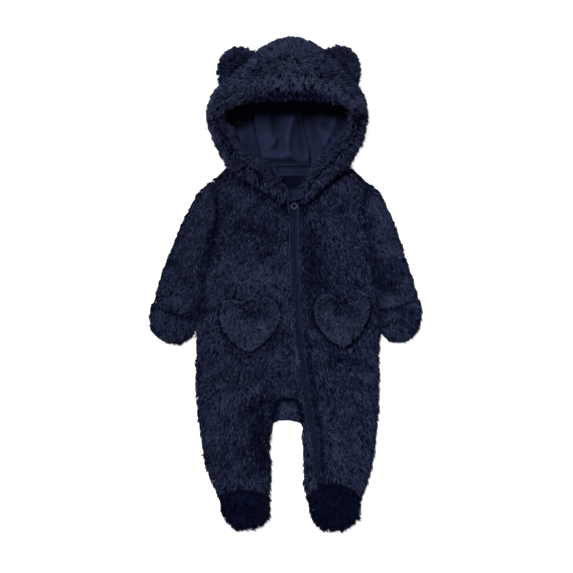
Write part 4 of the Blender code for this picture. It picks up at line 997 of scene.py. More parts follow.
def front_high(x, y):
    """The fronts' upper side: their wall above their underside."""
    return front_low(x, y) + wall_at(edge_distance(x, y))


def crotch_bump(x, low, high):
    """1 in the middle of the gusset and 0 at its corners and beyond."""
    return 1 - from_middle(x, low, high) ** 4


def instep_bump(x, left, right):
    """The rise of the foot seam over its ends on each leg."""
    rise = [most * (1 - from_middle(x, *leg) ** 2) for leg, most in zip((left, right), INSTEP_RISE)]
    return rise[0] + rise[1]


def spans(bounds, cells):
    """Columns spaced evenly within each span between two boundary arrays."""
    parts = [
        low[:, None] + (high - low)[:, None] * np.linspace(0, 1, n + 1)[None, :]
        for (low, high), n in zip(bounds, cells)
    ]
    return np.hstack([parts[0]] + [p[:, 1:] for p in parts[1:]])


def lower_plan(bounds, cells):
    """Plan points of a panel below the arms, its rows lifted over the gusset and the insteps."""
    b = {name: column[:, None] for name, column in BODY.items()}
    x = spans([(BODY[low] + dl, BODY[high] + dh) for low, dl, high, dh in bounds], cells)
    rise = b["crotch"] * CROTCH_RISE * crotch_bump(x, b["leg_left"], b["leg_right"])
    legs = (b["side_left"], b["leg_left"]), (b["leg_right"], b["side_right"])
    return x, b["y"] + rise + b["instep"] * instep_bump(x, *legs)


def coons(top, bottom, left, right):
    """A patch between four curves: the two blends of opposite curves, less the blend of the corners."""
    u = np.linspace(0, 1, len(top))[None, :, None]
    v = np.linspace(0, 1, len(left))[:, None, None]
    rows = (1 - v) * top[None] + v * bottom[None]
    columns = (1 - u) * left[:, None] + u * right[:, None]
    corners = (1 - v) * ((1 - u) * top[0] + u * top[-1]) + v * ((1 - u) * bottom[0] + u * bottom[-1])
    return rows + columns - corners


def panel_plan(bounds, cells, top, left, right):
    """The whole plan of a panel: a yoke down to the underarm line between its top and two sides, then the
    rest."""
    x, y = lower_plan(bounds, cells)
    bottom = np.stack([x[0], y[0]], -1)
    yoke = coons(top, bottom, along(left, YOKE_ROWS + 1), along(right, YOKE_ROWS + 1))
    plan = np.vstack([yoke[:-1], np.stack([x, y], -1)])
    return np.moveaxis(finer(plan), -1, 0)


def legs_apart(shape, gap):
    """Which cells of a panel are there: all but those between the legs, below the gusset's seam."""
    keep = np.ones((shape[0] - 1, shape[1] - 1), bool)
    first = YOKE_ROWS + int(np.argmax(BODY["crotch"]))
    keep[first * FINE :, gap.start * FINE : gap.stop * FINE] = False
    return keep


def split_top(shoulder_cells, neck_cells, armhole_top, neck):
    """The top edge of a front: the shoulder, then the neck down to the zip."""
    shoulder = along((armhole_top, neck[0]), shoulder_cells + 1)
    return np.vstack([shoulder[:-1], along(neck, neck_cells + 1)])


def body_nap(root):
    """Down the garment, and a little outwards towards its sides."""
    return stack(0.0035 * (root[:, 0] - 5), -1.0, 0.0)


def beside_pull(root):
    """1 beside the zip's guard and its pull tab, where the pile is pressed down."""
    return oval(root[:, 0], root[:, 1], (14.2, 121), (16.5, 20.0), power=4)


def off_zip(root):
    """How far each root is to the right of the zip's middle."""
    x, y = zip_line()
    return root[:, 0] - np.interp(-root[:, 1], -y, x)


def beside_zip(root):
    """What is left of the pile's length on a front. It is short and flat where it meets the zip, the pockets,
    the gusset's seam and the pull tab, and long at the outline beside the cuffs and inside the left leg."""
    x, y = root[:, 0], root[:, 1]
    far = edge_distance(x, y)
    at_outline = 1 - ease(far / 9.0)
    by_cuffs, inner_leg = bell(y + 38, 30), bell(x + 18, 13) * (y < -205)
    edge = 1.03 - 0.03 * ease(far / 14.0) + 0.8 * by_cuffs * at_outline + 0.35 * inner_leg * at_outline
    edge = edge * (1 - 0.6 * beside(x, y, [gusset_seam()], 8.0))
    least = 0.45 + 0.4 * ease((60 - y) / 110.0)
    off = np.abs(off_zip(root)) - ZIP_HALF
    zip_side = np.where(y > ZIP_FOOT - 4, least + (1 - least) * ease(off / 10.0), 1.0)
    return zip_side * edge * (1 - 0.7 * beside_pocket(x, y)) * (1 - 0.72 * beside_pull(root))


def front_painted_light(root):
    """Painted shade beside the pockets, the pull tab and the gusset and down the right of the zip, and a
    painted highlight on the left of it."""
    x, y = root[:, 0], root[:, 1]
    off = off_zip(root)
    low = ease((-40 - y) / 60.0) * (y > ZIP_FOOT)
    groove = 0.34 * bell(off - 9, 3.6) * low
    ridge = 0.2 * bell(off + 10, 4.5) * (0.4 + 0.6 * low)
    return ridge - groove - (0.75 * beside_pocket(x, y) + 0.6 * beside_pull(root) + 0.5 * beside_gusset(root))


def under_guard(root):
    """Where the jersey guard lies over the top of the zip."""
    (x, half_x), (y, half_y) = GUARD_COVERS
    return (np.abs(root[:, 0] - x) < half_x) & (np.abs(root[:, 1] - y) < half_y)


def covered(root):
    """Where a front lies under the guard or a pocket."""
    x, y = root[:, 0], root[:, 1]
    return under_guard(root) | inside(x, y, HEART_LEFT) | inside(x, y, HEART_RIGHT)


def make_front(node, x, y, keep):
    """The cloth of a front, creased and pulled in at its seams, and its pile. A tape under the pile fills the
    right shoulder's seam."""
    dent = 1.6 * creases(x, y, BODY_CREASES) + 0.9 * waves(stack(x, y, 0.0), 55.0, 61)[..., 0]
    dent = dent * ease(edge_distance(x, y) / 20.0) + 1.8 * pulled_in(x, y) + 1.4 * beside_pocket(x, y)
    top = front_high(x, y) - PILE_FOOT - dent
    low = np.maximum(front_low(x, y) - 0.7 * dent, back_high(x, y) + 0.1)
    outer = stack(x, y, np.maximum(top, low + LEAST_WALL))
    made = cloth(node, outer, stack(x, y, low), keep=keep)
    extras = [grow(node, outer, upward(outer), body_nap, keep=thicker_edge(x, y, keep), turn=turn_out(),
                   trim=beside_zip, bare=covered, painted_light=front_painted_light)]
    if node == "front_right":
        extras.append(cord_along("front_right_shoulder_tape", along(SHOULDER_TAPE, 24), 6.0, 3.2))
    sewn(node)


def make_back(x, y, keep):
    """The back: pressed pile lies between its cloth and the surface."""
    outer, under = stack(x, y, back_high(x, y)), stack(x, y, back_low(x, y) + PRESSED)
    made = cloth("back", outer, under, keep=keep)
    pile = grow("back", under, level(under, -1), body_nap, keep=thicker_edge(x, y, keep, 4.0),
                turn=turn_out(11.0))
    sewn("back")


def beside_the_zip(way):
    """A front's straight edge at the zip, from the neck to the underarm line."""
    x = BODY["zip"][0] + way * ZIP_HALF
    return (x, NECK_LEFT[-1][1]), (x, BODY["y"][0])


def make_body():
    """The back in one piece with both legs, and the two fronts. The left front also passes the crotch to the
    zip on the right leg, and the right front goes from the zip to the side."""
    left_leg, crotch = ("side_left", 0, "leg_left", 0), ("leg_left", 0, "leg_right", 0)
    right_leg, strip = ("leg_right", 0, "side_right", 0), ("leg_right", 0, "zip", -ZIP_HALF)
    right_of_zip = ("zip", ZIP_HALF, "side_right", 0)
    gap = slice(CELLS_LEFT, CELLS_LEFT + CELLS_CROTCH)
    cells = (CELLS_LEFT, CELLS_CROTCH, CELLS_STRIP + CELLS_RIGHT)
    ends = (SHOULDER_LEFT[0], NECK_BACK_Y), (SHOULDER_RIGHT[0], NECK_BACK_Y)
    neck = along(ends, sum(cells) + 1 - 2 * SHOULDER_CELLS)
    shoulders = (ARMHOLE_LEFT[0], neck[0]), (neck[-1], ARMHOLE_RIGHT[0])
    first, last = (along(p, SHOULDER_CELLS + 1) for p in shoulders)
    top = np.vstack([first[:-1], neck, last[1:]])
    x, y = panel_plan((left_leg, crotch, right_leg), cells, top, ARMHOLE_LEFT, ARMHOLE_RIGHT)
    make_back(x, y, legs_apart(x.shape, gap))
    cells = (CELLS_LEFT, CELLS_CROTCH, CELLS_STRIP)
    top = split_top(SHOULDER_CELLS, sum(cells) - SHOULDER_CELLS, ARMHOLE_LEFT[0], NECK_LEFT)
    x, y = panel_plan((left_leg, crotch, strip), cells, top, ARMHOLE_LEFT, beside_the_zip(-1))
    make_front("front_left", x, y, legs_apart(x.shape, gap))
    top = split_top(RIGHT_SHOULDER_CELLS, CELLS_RIGHT - RIGHT_SHOULDER_CELLS, ARMHOLE_RIGHT[0], NECK_RIGHT)
    x, y = panel_plan((right_of_zip,), (CELLS_RIGHT,), top[::-1], beside_the_zip(1), ARMHOLE_RIGHT)
    make_front("front_right", x, y, np.ones((x.shape[0] - 1, x.shape[1] - 1), bool))


def make_gusset():
    """The crotch gusset: a half-moon folded round the crotch edge, with a tape under its seam and one round
    its edge."""
    row = int(np.argmax(BODY["crotch"]))
    corners = BODY["leg_left"][row], BODY["leg_right"][row]
    middle = np.array([sum(corners) / 2, BODY["y"][row]])
    knots = np.linspace(*corners, CELLS_CROTCH + 1)
    x = middle[0] + (corners[1] - corners[0]) / 2 * np.array(GUSSET_SPAN)
    seam = np.interp(x, knots, BODY["y"][row] + CROTCH_RISE * crotch_bump(knots, *corners))
    x, seam = (middle + (np.stack([x, seam], -1) - middle) * GUSSET_EASE).T
    edge_y = np.interp(x, *np.array(GUSSET_EDGE, float).T)
    height = front_high(middle[0], seam.max())
    down, up = np.array(GUSSET_FOLD).T[:, :, None]
    outer = finer(stack(x[None], seam + (edge_y - seam) * down, height * up))
    outer[..., 2] = np.maximum(outer[..., 2], PRESSED)
    inner_edge = np.maximum(edge_y + GUSSET_WALL, edge_y + (seam - edge_y) * 0.3)
    low, high = GUSSET_WALL, height - GUSSET_WALL
    inner = finer(stack(x[None], seam + (inner_edge - seam) * down, low + (high - low) * up))
    made = cloth("crotch_gusset", outer, inner)
    facing = normals(outer)
    facing *= np.sign(facing[len(facing) // 8, facing.shape[1] // 2, 2])
    # Painted shade along the gusset's seam; its pile is also a little lighter all over
    pile = grow("crotch_gusset", outer, facing, painted_light=lambda root: 0.08 - 0.5 * beside_gusset(root))
    seam_tape = cord_along("crotch_gusset_seam_tape", along(gusset_seam(), 30), height - 6.5, 3.4, flat=0.5)
    edge_tape = cord_along("crotch_gusset_edge_tape", along(CROTCH_ROUND, 36), 5.0, 3.3)
    sewn("crotch_gusset")


# --- sleeves, cuffs and feet ---


def tube_rings(rows, wall=0.0):
    """Rings of a flattened tube, one for each section, inset by a wall.

    A ring is a rounded oblong: its width runs between the section's two ends, bowed in plan, and its height
    from the section's underside to its top. The wall is taken off the height, and in plan square to the
    tube's two sides, in proportion to how near a point is to that side.
    """
    s = table(SLEEVE_COLUMNS, rows)
    ends = [np.stack([s[f"{e}_x"], s[f"{e}_y"]], -1) for e in ("outer", "inner")]
    middle, half = (ends[0] + ends[1]) / 2, (ends[1] - ends[0]) / 2
    side = unit(half)
    normal = np.stack([-side[:, 1], side[:, 0]], -1) * np.sign(middle[:1, :1] * -1)
    turn = 2 * np.pi * np.arange(SLEEVE_AROUND) / SLEEVE_AROUND
    across = np.sign(np.cos(turn)) * np.abs(np.cos(turn)) ** 0.75
    up = np.sign(np.sin(turn)) * np.abs(np.sin(turn)) ** 0.6
    bow = s["bow"][:, None] * (1 - across**2)
    plan = middle[:, None] + across[:, None] * half[:, None] + bow[..., None] * normal[:, None]
    for end, way in zip(ends, (-1, 1)):
        run = unit(np.gradient(end, axis=0))
        out = np.stack([-run[:, 1], run[:, 0]], -1)
        out *= np.sign((out * side).sum(-1, keepdims=True)) * way
        near = np.broadcast_to(wall, len(rows))[:, None] * np.maximum(across * way, 0)
        plan = plan - near[..., None] * out[:, None]
    centre, tall = (s["low"] + s["high"]) / 2, (s["high"] - s["low"]) / 2 - wall
    return np.dstack([plan, centre[:, None] + tall[:, None] * up])


def on_armhole(ring, armhole):
    """The ring's points moved across to the sleeve's side of the armhole."""
    cut = along(armhole, YOKE_ROWS + 1)[::-1]
    ring[:, 0] = np.interp(ring[:, 1], cut[:, 1], cut[:, 0]) + np.sign(cut[0, 0]) * 2 * SEAM


def at_fold(root):
    """1 on the edge that a mitten flap folds over its sleeve with, fading within a few millimetres of it."""
    return beside(root[:, 0], root[:, 1], (CUFF_FOLD_LEFT, CUFF_FOLD_RIGHT), 2.6) * (root[:, 2] > 8)


def tube(node, outer, inner, nap, shut=False):
    """A flattened tube's cloth, creased on its top, with its underside on pressed pile."""
    outer, inner = (finer(g, across=3, wrap=True) for g in (outer, inner))
    facing = normals(outer, wrap=True)
    middle = outer.mean(1, keepdims=True)
    facing *= np.sign(((outer - middle) * facing).sum((1, 2), keepdims=True))
    over = ease(facing[..., 2] / 0.6)
    x, y = outer[..., 0], outer[..., 1]
    seed = PILE[node][PILE_COLUMNS.index("seed")]
    dent = 1.5 * creases(x, y, SLEEVE_CREASES) + 0.7 * waves(outer, 40.0, seed)[..., 0]
    outer[..., 2] -= (dent + 1.6 * pulled_in(x, y) + PILE_FOOT) * over
    outer[..., 2] = np.maximum(outer[..., 2], PRESSED)
    inner[..., 2] = np.maximum(inner[..., 2], PRESSED + LEAST_WALL)
    made = cloth(node, outer, inner, wrap=True, shut=shut)
    side = 1 + 3.0 * (1 - ease(np.abs(facing[..., 2]) / 0.6))
    # The pile is painted darker at the edge of the flap's fold: painted shade under the fold
    pile = grow(node, outer, facing, nap, wrap=True, keep=(side[:-1] + side[1:]) / 2,
                painted_light=lambda root: -0.55 * at_fold(root), trim=lambda root: 1 - 0.5 * at_fold(root))
    sewn(node)


def make_sleeve(node, rows, armhole):
    """A flat tube from the armhole to the wrist, its end inside the mitten flap, with a tape under the pile
    along the armhole."""
    walls = np.full(len(rows), SLEEVE_WALL)
    walls[-3:] = (SLEEVE_WALL + SLEEVE_END_WALL) / 2, SLEEVE_END_WALL, SLEEVE_END_WALL
    outer, inner = tube_rings(rows), tube_rings(rows, walls)
    on_armhole(outer[0], armhole)
    on_armhole(inner[0], armhole)
    tape = cord_along(f"{node}_seam_tape", along(armhole, 30), 5.0, 3.4)
    tube(node, outer, inner, np.array([0.38 * np.sign(rows[0][0]), -0.92, 0.0]))


def make_cuff(node, rows):
    """The mitten flap that folds over the end of the sleeve: a flat pouch, shut at its tip."""
    outer = tube_rings(rows)
    tip = outer[-1].mean(0) + (outer[-1].mean(0) - outer[-2].mean(0)) * 0.25
    outer = np.vstack([outer, np.broadcast_to(tip, outer[:1].shape)])
    inner = tube_rings(rows[:-1], CUFF_WALL)
    shut = inner[-1].mean(0) + (inner[-1].mean(0) - inner[-2].mean(0)) * 0.1
    inner = np.vstack([inner, np.broadcast_to(shut, inner[:2].shape)])
    tube(node, outer, inner, np.array([0.25 * np.sign(rows[0][0]), -0.9, 0.0]), shut=True)


def foot_plan(rows, rise, cells=7):
    """A foot's points in plan, its rows arched over the instep by their share of the seam's rise."""
    f = {name: column[:, None] for name, column in table(FOOT_COLUMNS, rows).items()}
    x = spans([(f["left"][:, 0], f["right"][:, 0])], (cells,))
    y = f["y"] + f["seam"] * rise * (1 - from_middle(x, f["left"], f["right"]) ** 2)
    return np.moveaxis(finer(np.stack([x, y], -1)), -1, 0)


def long_at_toe(root):
    """The pile on a foot grows longer from the toe's root to its tip."""
    return 1 + 0.7 * (1 - ease((root[:, 1] + 335) / 20))


def make_foot(side, rows, rise):
    """The sole lies on the surface and the upper lies on it, both cut to a round toe, with a tape under the
    seam at the instep."""
    x, y = foot_plan(rows, rise)
    sole, upper = f"foot_{side}_sole", f"foot_{side}_upper"
    under = stack(x, y, back_low(x, y) + PRESSED)
    made = cloth(sole, stack(x, y, back_high(x, y)), under, "foot_ground")
    pile = grow(sole, under, level(under, -1), finish="foot_pile", turn=turn_out())
    sewn(sole)
    top = front_high(x, y) + 1.6 * ease(edge_distance(x, y) / 20.0) - PILE_FOOT - 1.2 * pulled_in(x, y)
    outer = stack(x, y, top)
    made = cloth(upper, outer, stack(x, y, front_low(x, y)), "foot_ground")
    instep = np.stack([x[0], y[0]], -1)
    tape = cord_along(f"foot_{side}_seam_tape", instep, front_high(x[0], y[0]) - 5.0, 3.2, flat=0.5)
    everywhere = np.ones((x.shape[0] - 1, x.shape[1] - 1))
    pile = grow(upper, outer, upward(outer), finish="foot_pile", keep=thicker_edge(x, y, everywhere, 3.0),
                turn=turn_out(), trim=long_at_toe)
    sewn(upper)


# --- hood ---


def hood_points(rows, which):
    """One of the hood's lines through its sections: its base, its ridge or the facing's inner edge."""
    h = table(HOOD_COLUMNS, rows)
    return np.stack([h[f"{which}_{axis}"] for axis in "xyz"], -1)


def bezier(p0, p1, p2, p3, t):
    """A cubic curve for each row of four points: its ends are the first and the last, and it sets out towards
    the second and arrives from the third."""
    t = t[None, :, None]
    p0, p1, p2, p3 = (p[:, None] for p in (p0, p1, p2, p3))
    return (1 - t) ** 3 * p0 + 3 * (1 - t) ** 2 * t * p1 + 3 * (1 - t) * t**2 * p2 + t**3 * p3


def outside(ridge, base, crest, t):
    """The hood from the fold at its mouth over its crest and down to its outline, one row a section."""
    over = ridge + 0.42 * (base - ridge)
    over[:, 2] = ridge[:, 2] + crest
    shoulder = base.copy()
    shoulder[:, 2] = base[:, 2] + 0.72 * (ridge[:, 2] - base[:, 2])
    return bezier(ridge, over, shoulder, base, t)


def under(base, seam, cells):
    """The hood's back: it turns in below its outline and lies flat as far as the seam."""
    inward = seam[:, :2] - base[:, :2]
    length = np.linalg.norm(inward, axis=1, keepdims=True)
    inward = inward / length
    turned = np.hstack([base[:, :2] + inward * np.minimum(2.0, length * 0.1), base[:, 2:] * 0.3])
    flat = np.hstack([base[:, :2] + inward * np.minimum(TURN_IN, length * 0.4), base[:, 2:] * 0.0])
    steps = [flat + (seam - flat) * t for t in np.linspace(0, 1, cells + 1)]
    return np.stack([turned, *steps], 1)


def side_sections(rows):
    """A side's fold at the mouth, its outline, the facing's inner edge and its crest, section by section."""
    lines = (hood_points(rows, which) for which in ("ridge", "base", "in"))
    return *lines, table(HOOD_COLUMNS, rows)["crest"]


def centre_sections(x):
    """The same for the strip between the sides: towards them its brim, crown and crest fall back."""
    t = (x - sum(CENTRE_X) / 2) / ((CENTRE_X[1] - CENTRE_X[0]) / 2)
    rise, fall = np.array([BRIM, CROWN]), np.array([BRIM_FALL, CROWN_FALL])
    ridge, base = (np.column_stack([x, at - drop * t[:, None] ** 2]) for at, drop in zip(rise, fall))
    return ridge, base, ridge + BRIM_FACING, HOOD_CENTRE_CREST - 2.0 * t**2


def wall_side(step, level):
    """The direction square to a step in the upright plane of a level one, to the right of the step."""
    level = unit(level * (1, 1, 0))
    return unit(step[:, 2:] * level - (step * level).sum(-1, keepdims=True) * (0, 0, 1))


def mouth(ridge, base, edge, crest):
    """At each section of the mouth: where the outside and the facing start beside the fold, where the inner
    faces of their walls meet, and the side of the facing on which its wall lies."""
    first = outside(ridge, base, crest, np.array([0.0, 0.04]))
    outward, inward = unit(first[:, 1] - first[:, 0]), unit(edge - ridge)
    behind = -wall_side(inward, base - ridge)
    below = wall_side(outward, base - ridge)
    middle = unit(behind + below)
    narrow = (middle * below).sum(-1, keepdims=True)
    gap = SEAM / 2 / narrow
    return outward * gap, inward * gap, ridge + middle * FOLD_WALLS[0] / narrow, behind


def hood_wall(sections, seam):
    """The outer and the inner face of a piece of the hood with its back."""
    ridge, base, _, crest = sections
    skin = outside(ridge, base, crest, np.linspace(0, 1, HOOD_OUTSIDE_CELLS + 1))
    skin = np.concatenate([skin, under(base, seam, HOOD_FLOOR_CELLS)], 1)
    n = normals(skin)
    n *= np.sign(n[len(ridge) // 2, 2, 2])
    n[:, HOOD_OUTSIDE_CELLS + 2 :] = (0, 0, -1)
    walls = np.full((skin.shape[1], 1), CLOTH)
    walls[: len(FOLD_WALLS), 0] = FOLD_WALLS
    inner = skin - walls * n
    outward, _, corner, _ = mouth(*sections)
    skin[:, 0] += outward
    inner[:, 0] = corner + outward
    return skin, inner


def hood_nap(root):
    """Down over the crest towards the mouth, back over the crown and outwards down the two sides."""
    x, y = root[:, 0], root[:, 1]
    back = 1 - ease((338 - 0.006 * (x - 8.0) ** 2 - y) / 30.0)
    return stack(0.011 * (x - 8.0), 1.7 * back - 1.0, -0.3)


def ear_feet():
    """The feet of the two ears in plan."""
    ears = (table(EAR_COLUMNS, rows) for rows in (EAR_LEFT, EAR_RIGHT))
    return [np.stack([e["foot_x"], e["foot_y"]], -1) for e in ears]


def hood_painted_light(root):
    """Painted shade at the feet of the ears, along the seams of the middle strip and below the brim, and
    painted light on the brim and the crown."""
    x, y = root[:, 0], root[:, 1]
    ears = beside(x, y, ear_feet(), 5.0)
    seams = bell(np.abs(x - np.mean(CENTRE_X)) - np.ptp(CENTRE_X) / 2, 2.5) * (y > 240)
    brim = 289 - 0.0035 * (x - 8) ** 2
    on_brim = bell(y - brim, 7.0) * (y > 235)
    below = bell(y - brim + 17, 7.0) * (y > 235)
    crown = oval(x, y, (6, 315), (42, 26))
    return 0.04 + 0.26 * crown - 0.7 * ears - 0.22 * seams + 0.26 * on_brim - 0.55 * below


def pressed_on_hood(root):
    """The hood's pile is pressed down where an ear is sewn on, and short beside the zip's pull tab."""
    x, y = root[:, 0], root[:, 1]
    by_tab = oval(x, y, (12.6, 119), (13.0, 16.0), power=4)
    return (1 - 0.45 * beside(x, y, ear_feet(), 5.0)) * (1 - 0.85 * by_tab)


def hood_piece(node, skin, inner, keep):
    """The cloth of a piece of the hood, creased and a little uneven, and its pile."""
    skin, inner = finer(skin), finer(inner)
    keep = np.repeat(np.repeat(keep, FINE, 0), FINE, 1)
    facing = normals(skin)
    facing *= np.sign(facing[len(skin) // 2, 2 * FINE, 2])
    dent = creases(skin[..., 0], skin[..., 1], HOOD_CREASES) + waves(skin, 46.0, 77)[..., 0] * 0.8
    cell = np.arange(skin.shape[1]) / FINE
    over = ease(cell / 1.2) * ease((HOOD_OUTSIDE_CELLS - 0.6 - cell) / 1.2)
    skin = skin - facing * (dent * over)[..., None]
    skin[..., 2] = np.maximum(skin[..., 2], PRESSED)
    made = cloth(node, skin, inner, keep=keep)
    pile = grow(node, skin, facing, hood_nap, keep=keep, painted_light=hood_painted_light, trim=pressed_on_hood)
    sewn(node)


def make_hood_side(node, rows, seam_x):
    """A side of the hood, from its fold at the mouth to the seam of the middle strip, with the part of its
    back that lies under the lining."""
    sections = side_sections(rows)
    base = sections[1]
    seam_y = np.linspace(HOOD_SEAM_Y, base[-1, 1] - 12.0, len(rows) - HOOD_FLOOR_ROW)
    seam = stack(seam_x, np.r_[np.full(HOOD_FLOOR_ROW, seam_y[0]), seam_y], 0.0)
    skin, inner = hood_wall(sections, seam)
    inner[:HOOD_FLOOR_ROW, HOOD_OUTSIDE_CELLS] = base[:HOOD_FLOOR_ROW] - (0, 0, CLOTH - 0.5)
    skin[-1, :, 0] = inner[-1, :, 0] = seam_x
    keep = np.ones((len(rows) - 1, skin.shape[1] - 1), bool)
    keep[:HOOD_FLOOR_ROW, HOOD_OUTSIDE_CELLS:] = False
    hood_piece(node, skin, inner, keep)


def make_hood_centre():
    """The strip between the two sides, from the brim over the crown to the neck, arched across its width."""
    x = np.linspace(CENTRE_X[0] + SEAM / 2, CENTRE_X[1] - SEAM / 2, CENTRE_COLUMNS)
    skin, inner = hood_wall(centre_sections(x), stack(x, HOOD_SEAM_Y, 0.0))
    skin[..., 0] = inner[..., 0] = x[:, None]
    hood_piece("hood_centre", skin, inner, np.ones((len(x) - 1, skin.shape[1] - 1), bool))


def facing_sheets():
    """The facing's visible face and its back, from the left end round the brim to the right end."""
    x = np.linspace(*CENTRE_X, CENTRE_COLUMNS)[1:-1]
    right = [p[::-1] for p in side_sections(HOOD_RIGHT)]
    parts = zip(side_sections(HOOD_LEFT), centre_sections(x), right)
    ridge, base, edge, crest = (np.concatenate(p) for p in parts)
    _, inward, corner, behind = mouth(ridge, base, edge, crest)
    bulge = ridge + 0.5 * (edge - ridge) - behind
    face = bezier(ridge, ridge + 0.3 * (edge - ridge), bulge, edge, np.linspace(0, 1, 4))
    n = normals(face)
    n *= np.sign((behind[:, None] * n).sum(-1, keepdims=True))
    back = face + FACING_WALL * n
    face[:, 0] += inward
    back[:, 0] = corner + inward
    return face, back


def facing_nap(root):
    """Inwards over the edge of the facing and down towards the neck."""
    inwards = unit(stack(8.0 - root[:, 0], 215.0 - root[:, 1], 0.0))
    return inwards * 0.5 + stack(0.0, -0.7, 0.0)


def at_neck(root):
    """What is left of the facing's pile: its ends are flat under the zip's guard."""
    return 1 - 0.88 * beside_pull(root)


def make_facing():
    """The fleece band inside the mouth, all round it from one side of the zip to the other."""
    face, back = (finer(g) for g in facing_sheets())
    outward = unit(face - back)
    outward[:, :2] = outward[:, 2:3]
    made = cloth("hood_facing", face, back)
    pile = grow("hood_facing", face, outward, facing_nap, trim=at_neck, bare=under_guard)
    sewn("hood_facing")


def lining_path(top, base, seam):
    """The jersey from behind the facing's inner edge down to the hood's back, on which it lies."""
    inward = unit(seam[:, :2] - base[:, :2])
    wall = np.hstack([base[:, :2] + inward * LINING_WALL_IN, 0.45 * top[:, 2:] + 6.0])
    floor = np.hstack([base[:, :2] + inward * LINING_FLOOR_IN, np.full((len(base), 1), LINING_Z)])
    return [top, (top + wall) / 2 + (0, 0, LINING_SLACK), wall, floor]


def put_painted_shade(made, depth):
    """How much painted shade each point gets, for a knit finish: above zero darker, as in a trough, and below
    zero lighter, as on a ridge.
    """
    put = np.empty(3 * len(made.data.vertices))
    made.data.vertices.foreach_get("co", put)
    x, y = put.reshape(-1, 3)[:, :2].T / MM
    # The attribute named fold carries painted shade and painted light, also on pieces without folds
    fold = made.data.attributes.new("fold", "FLOAT", "POINT")
    fold.data.foreach_set("value", depth(x, y).astype(np.float32))


def lining_painted_shade(x, y):
    """The lining's painted shade: darker in its creases' troughs and lighter on their ridges, and painted
    shadow under the brim and in the two corners of the mouth.
    """
    corners = 2.0 * ease((np.abs(x - 8) - 55) / 20.0) * ease((y - 200) / 20.0)
    return 0.42 * creases(x, y, LINING_CREASES) + 2.4 * ease((y - 208) / 32.0) + corners


def lining_shell(node, grid, first, seams):
    """The jersey and its folds: it is pushed along its normals, less beside its seams, and its wall lies
    behind it."""
    n = normals(grid)
    n *= np.sign(n[:, -1, 2].mean())
    n[:, 0] -= np.minimum((n[:, 0] * first).sum(-1, keepdims=True), 0) * first
    n[:, 4:] = (0, 0, 1)
    n[seams, :, 0] = 0.0
    grid, n = finer(grid, LINING_FINE, LINING_FINE), unit(finer(unit(n), LINING_FINE, LINING_FINE))
    fold = creases(grid[..., 0], grid[..., 1], LINING_CREASES) - 0.35 * waves(grid, 30.0, 91)[..., 0]
    column = np.arange(grid.shape[1])
    still = ease(column / 8.0)[None] * ease((column[-1] - column) / 5.0)[None]
    face = grid + n * ((LINING_OFF - LINING_FOLD * fold) * still)[..., None]
    face[..., 2] = np.maximum(face[..., 2], LINING_Z - 0.2)
    made = cloth(node, face, face - JERSEY * n, "jersey")
    # Painted shade in the lining's folds, under the brim and in the corners of the mouth
    put_painted_shade(made, lining_painted_shade)
    sewn(node)


def make_lining():
    """Two sides and a middle, each from behind the facing's inner edge to the seams on the hood's back."""
    face, back = facing_sheets()
    first = unit(face - back)[:, -1]
    top = back[:, -1] - first * 2 * SEAM
    s = table(LINING_COLUMNS, LINING_SEAMS)
    for side, rows, step, away in (("left", HOOD_LEFT, 1, -1), ("right", HOOD_RIGHT, -1, 1)):
        used = slice(LINING_FIRST_ROW, len(rows))
        base = hood_points(rows, "base")[used]
        seam = stack(s[side] + away * SEAM, s["y"], LINING_Z)
        path = lining_path(top[::step][used], base, seam)
        seam[-1] = path[-1][-1]
        grid = np.stack([*path, (path[-1] + seam) / 2, seam], 1)
        grid[-1, :3, 0] = seam[-1, 0]
        lining_shell(f"hood_lining_{side}", grid, first[::step][used], [-1])
    columns = slice(len(HOOD_LEFT) - 1, len(HOOD_LEFT) - 1 + CENTRE_COLUMNS)
    left, right = s["left"] + SEAM, s["right"] - SEAM
    x = left + (right - left) * np.linspace(0, 1, CENTRE_COLUMNS)[:, None]
    base = centre_sections(x[:, -1])[1]
    floor = stack(x, s["y"], LINING_Z)[:, ::-1]
    grid = np.stack([*lining_path(top[columns], base, floor[:, 0]), *floor.transpose(1, 0, 2)], 1)
    grid[:, :4, 0] = x[:, -1:]
    lining_shell("hood_lining_centre", grid, first[columns], [0, -1])


def make_ear(side, rows):
    """An ear of two rounded pieces, sewn round the rim and open at the foot."""
    e = dict(zip(EAR_COLUMNS, smooth(rows, EAR_AROUND).T))
    u, v = np.linspace(0, 1, EAR_AROUND)[None], np.linspace(0, 1, EAR_ROWS)[:, None]
    foot = np.stack([e["foot_x"], e["foot_y"]], -1)
    rim = np.stack([e["rim_x"], e["rim_y"]], -1)
    foot = foot + unit(rim - foot) * EAR_FOOT_AWAY
    x, y = (foot[:, k] + (rim - foot)[:, k] * v for k in (0, 1))
    hollow = np.minimum(ease(4 * (1 - v) * 0.9), ease(4 * np.minimum(u, 1 - u) + 0.15))
    centre = EAR_FOOT_Z + (EAR_TIP_Z - EAR_FOOT_Z) * v
    middle = np.append(foot.mean(0), 0.0)

    def outwards(root):
        return unit((root - middle) * (1, 1, 0))

    def turn(root):
        return outwards(root), 0.9 * (1 - ease(to_points(root, rim) / 8.0))[:, None]

    # Painted shade at the ear's foot, where it is sewn to the hood
    def painted_shade_at_foot(root):
        return 0.02 - 0.5 * bell(to_points(root, foot), 5.0)

    for face, way in (("front", 1), ("back", -1)):
        node = f"ear_{side}_{face}"
        near = centre + way * (SEAM / 2 + EAR_HALF * hollow)
        far = near + way * (EAR_WALL * (0.6 + 0.4 * hollow))
        outer = finer(stack(x, y, far))
        made = cloth(node, outer, finer(stack(x, y, near)))
        pile = grow(node, outer, level(outer, way), outwards, turn=turn, painted_light=painted_shade_at_foot)
        sewn(node)


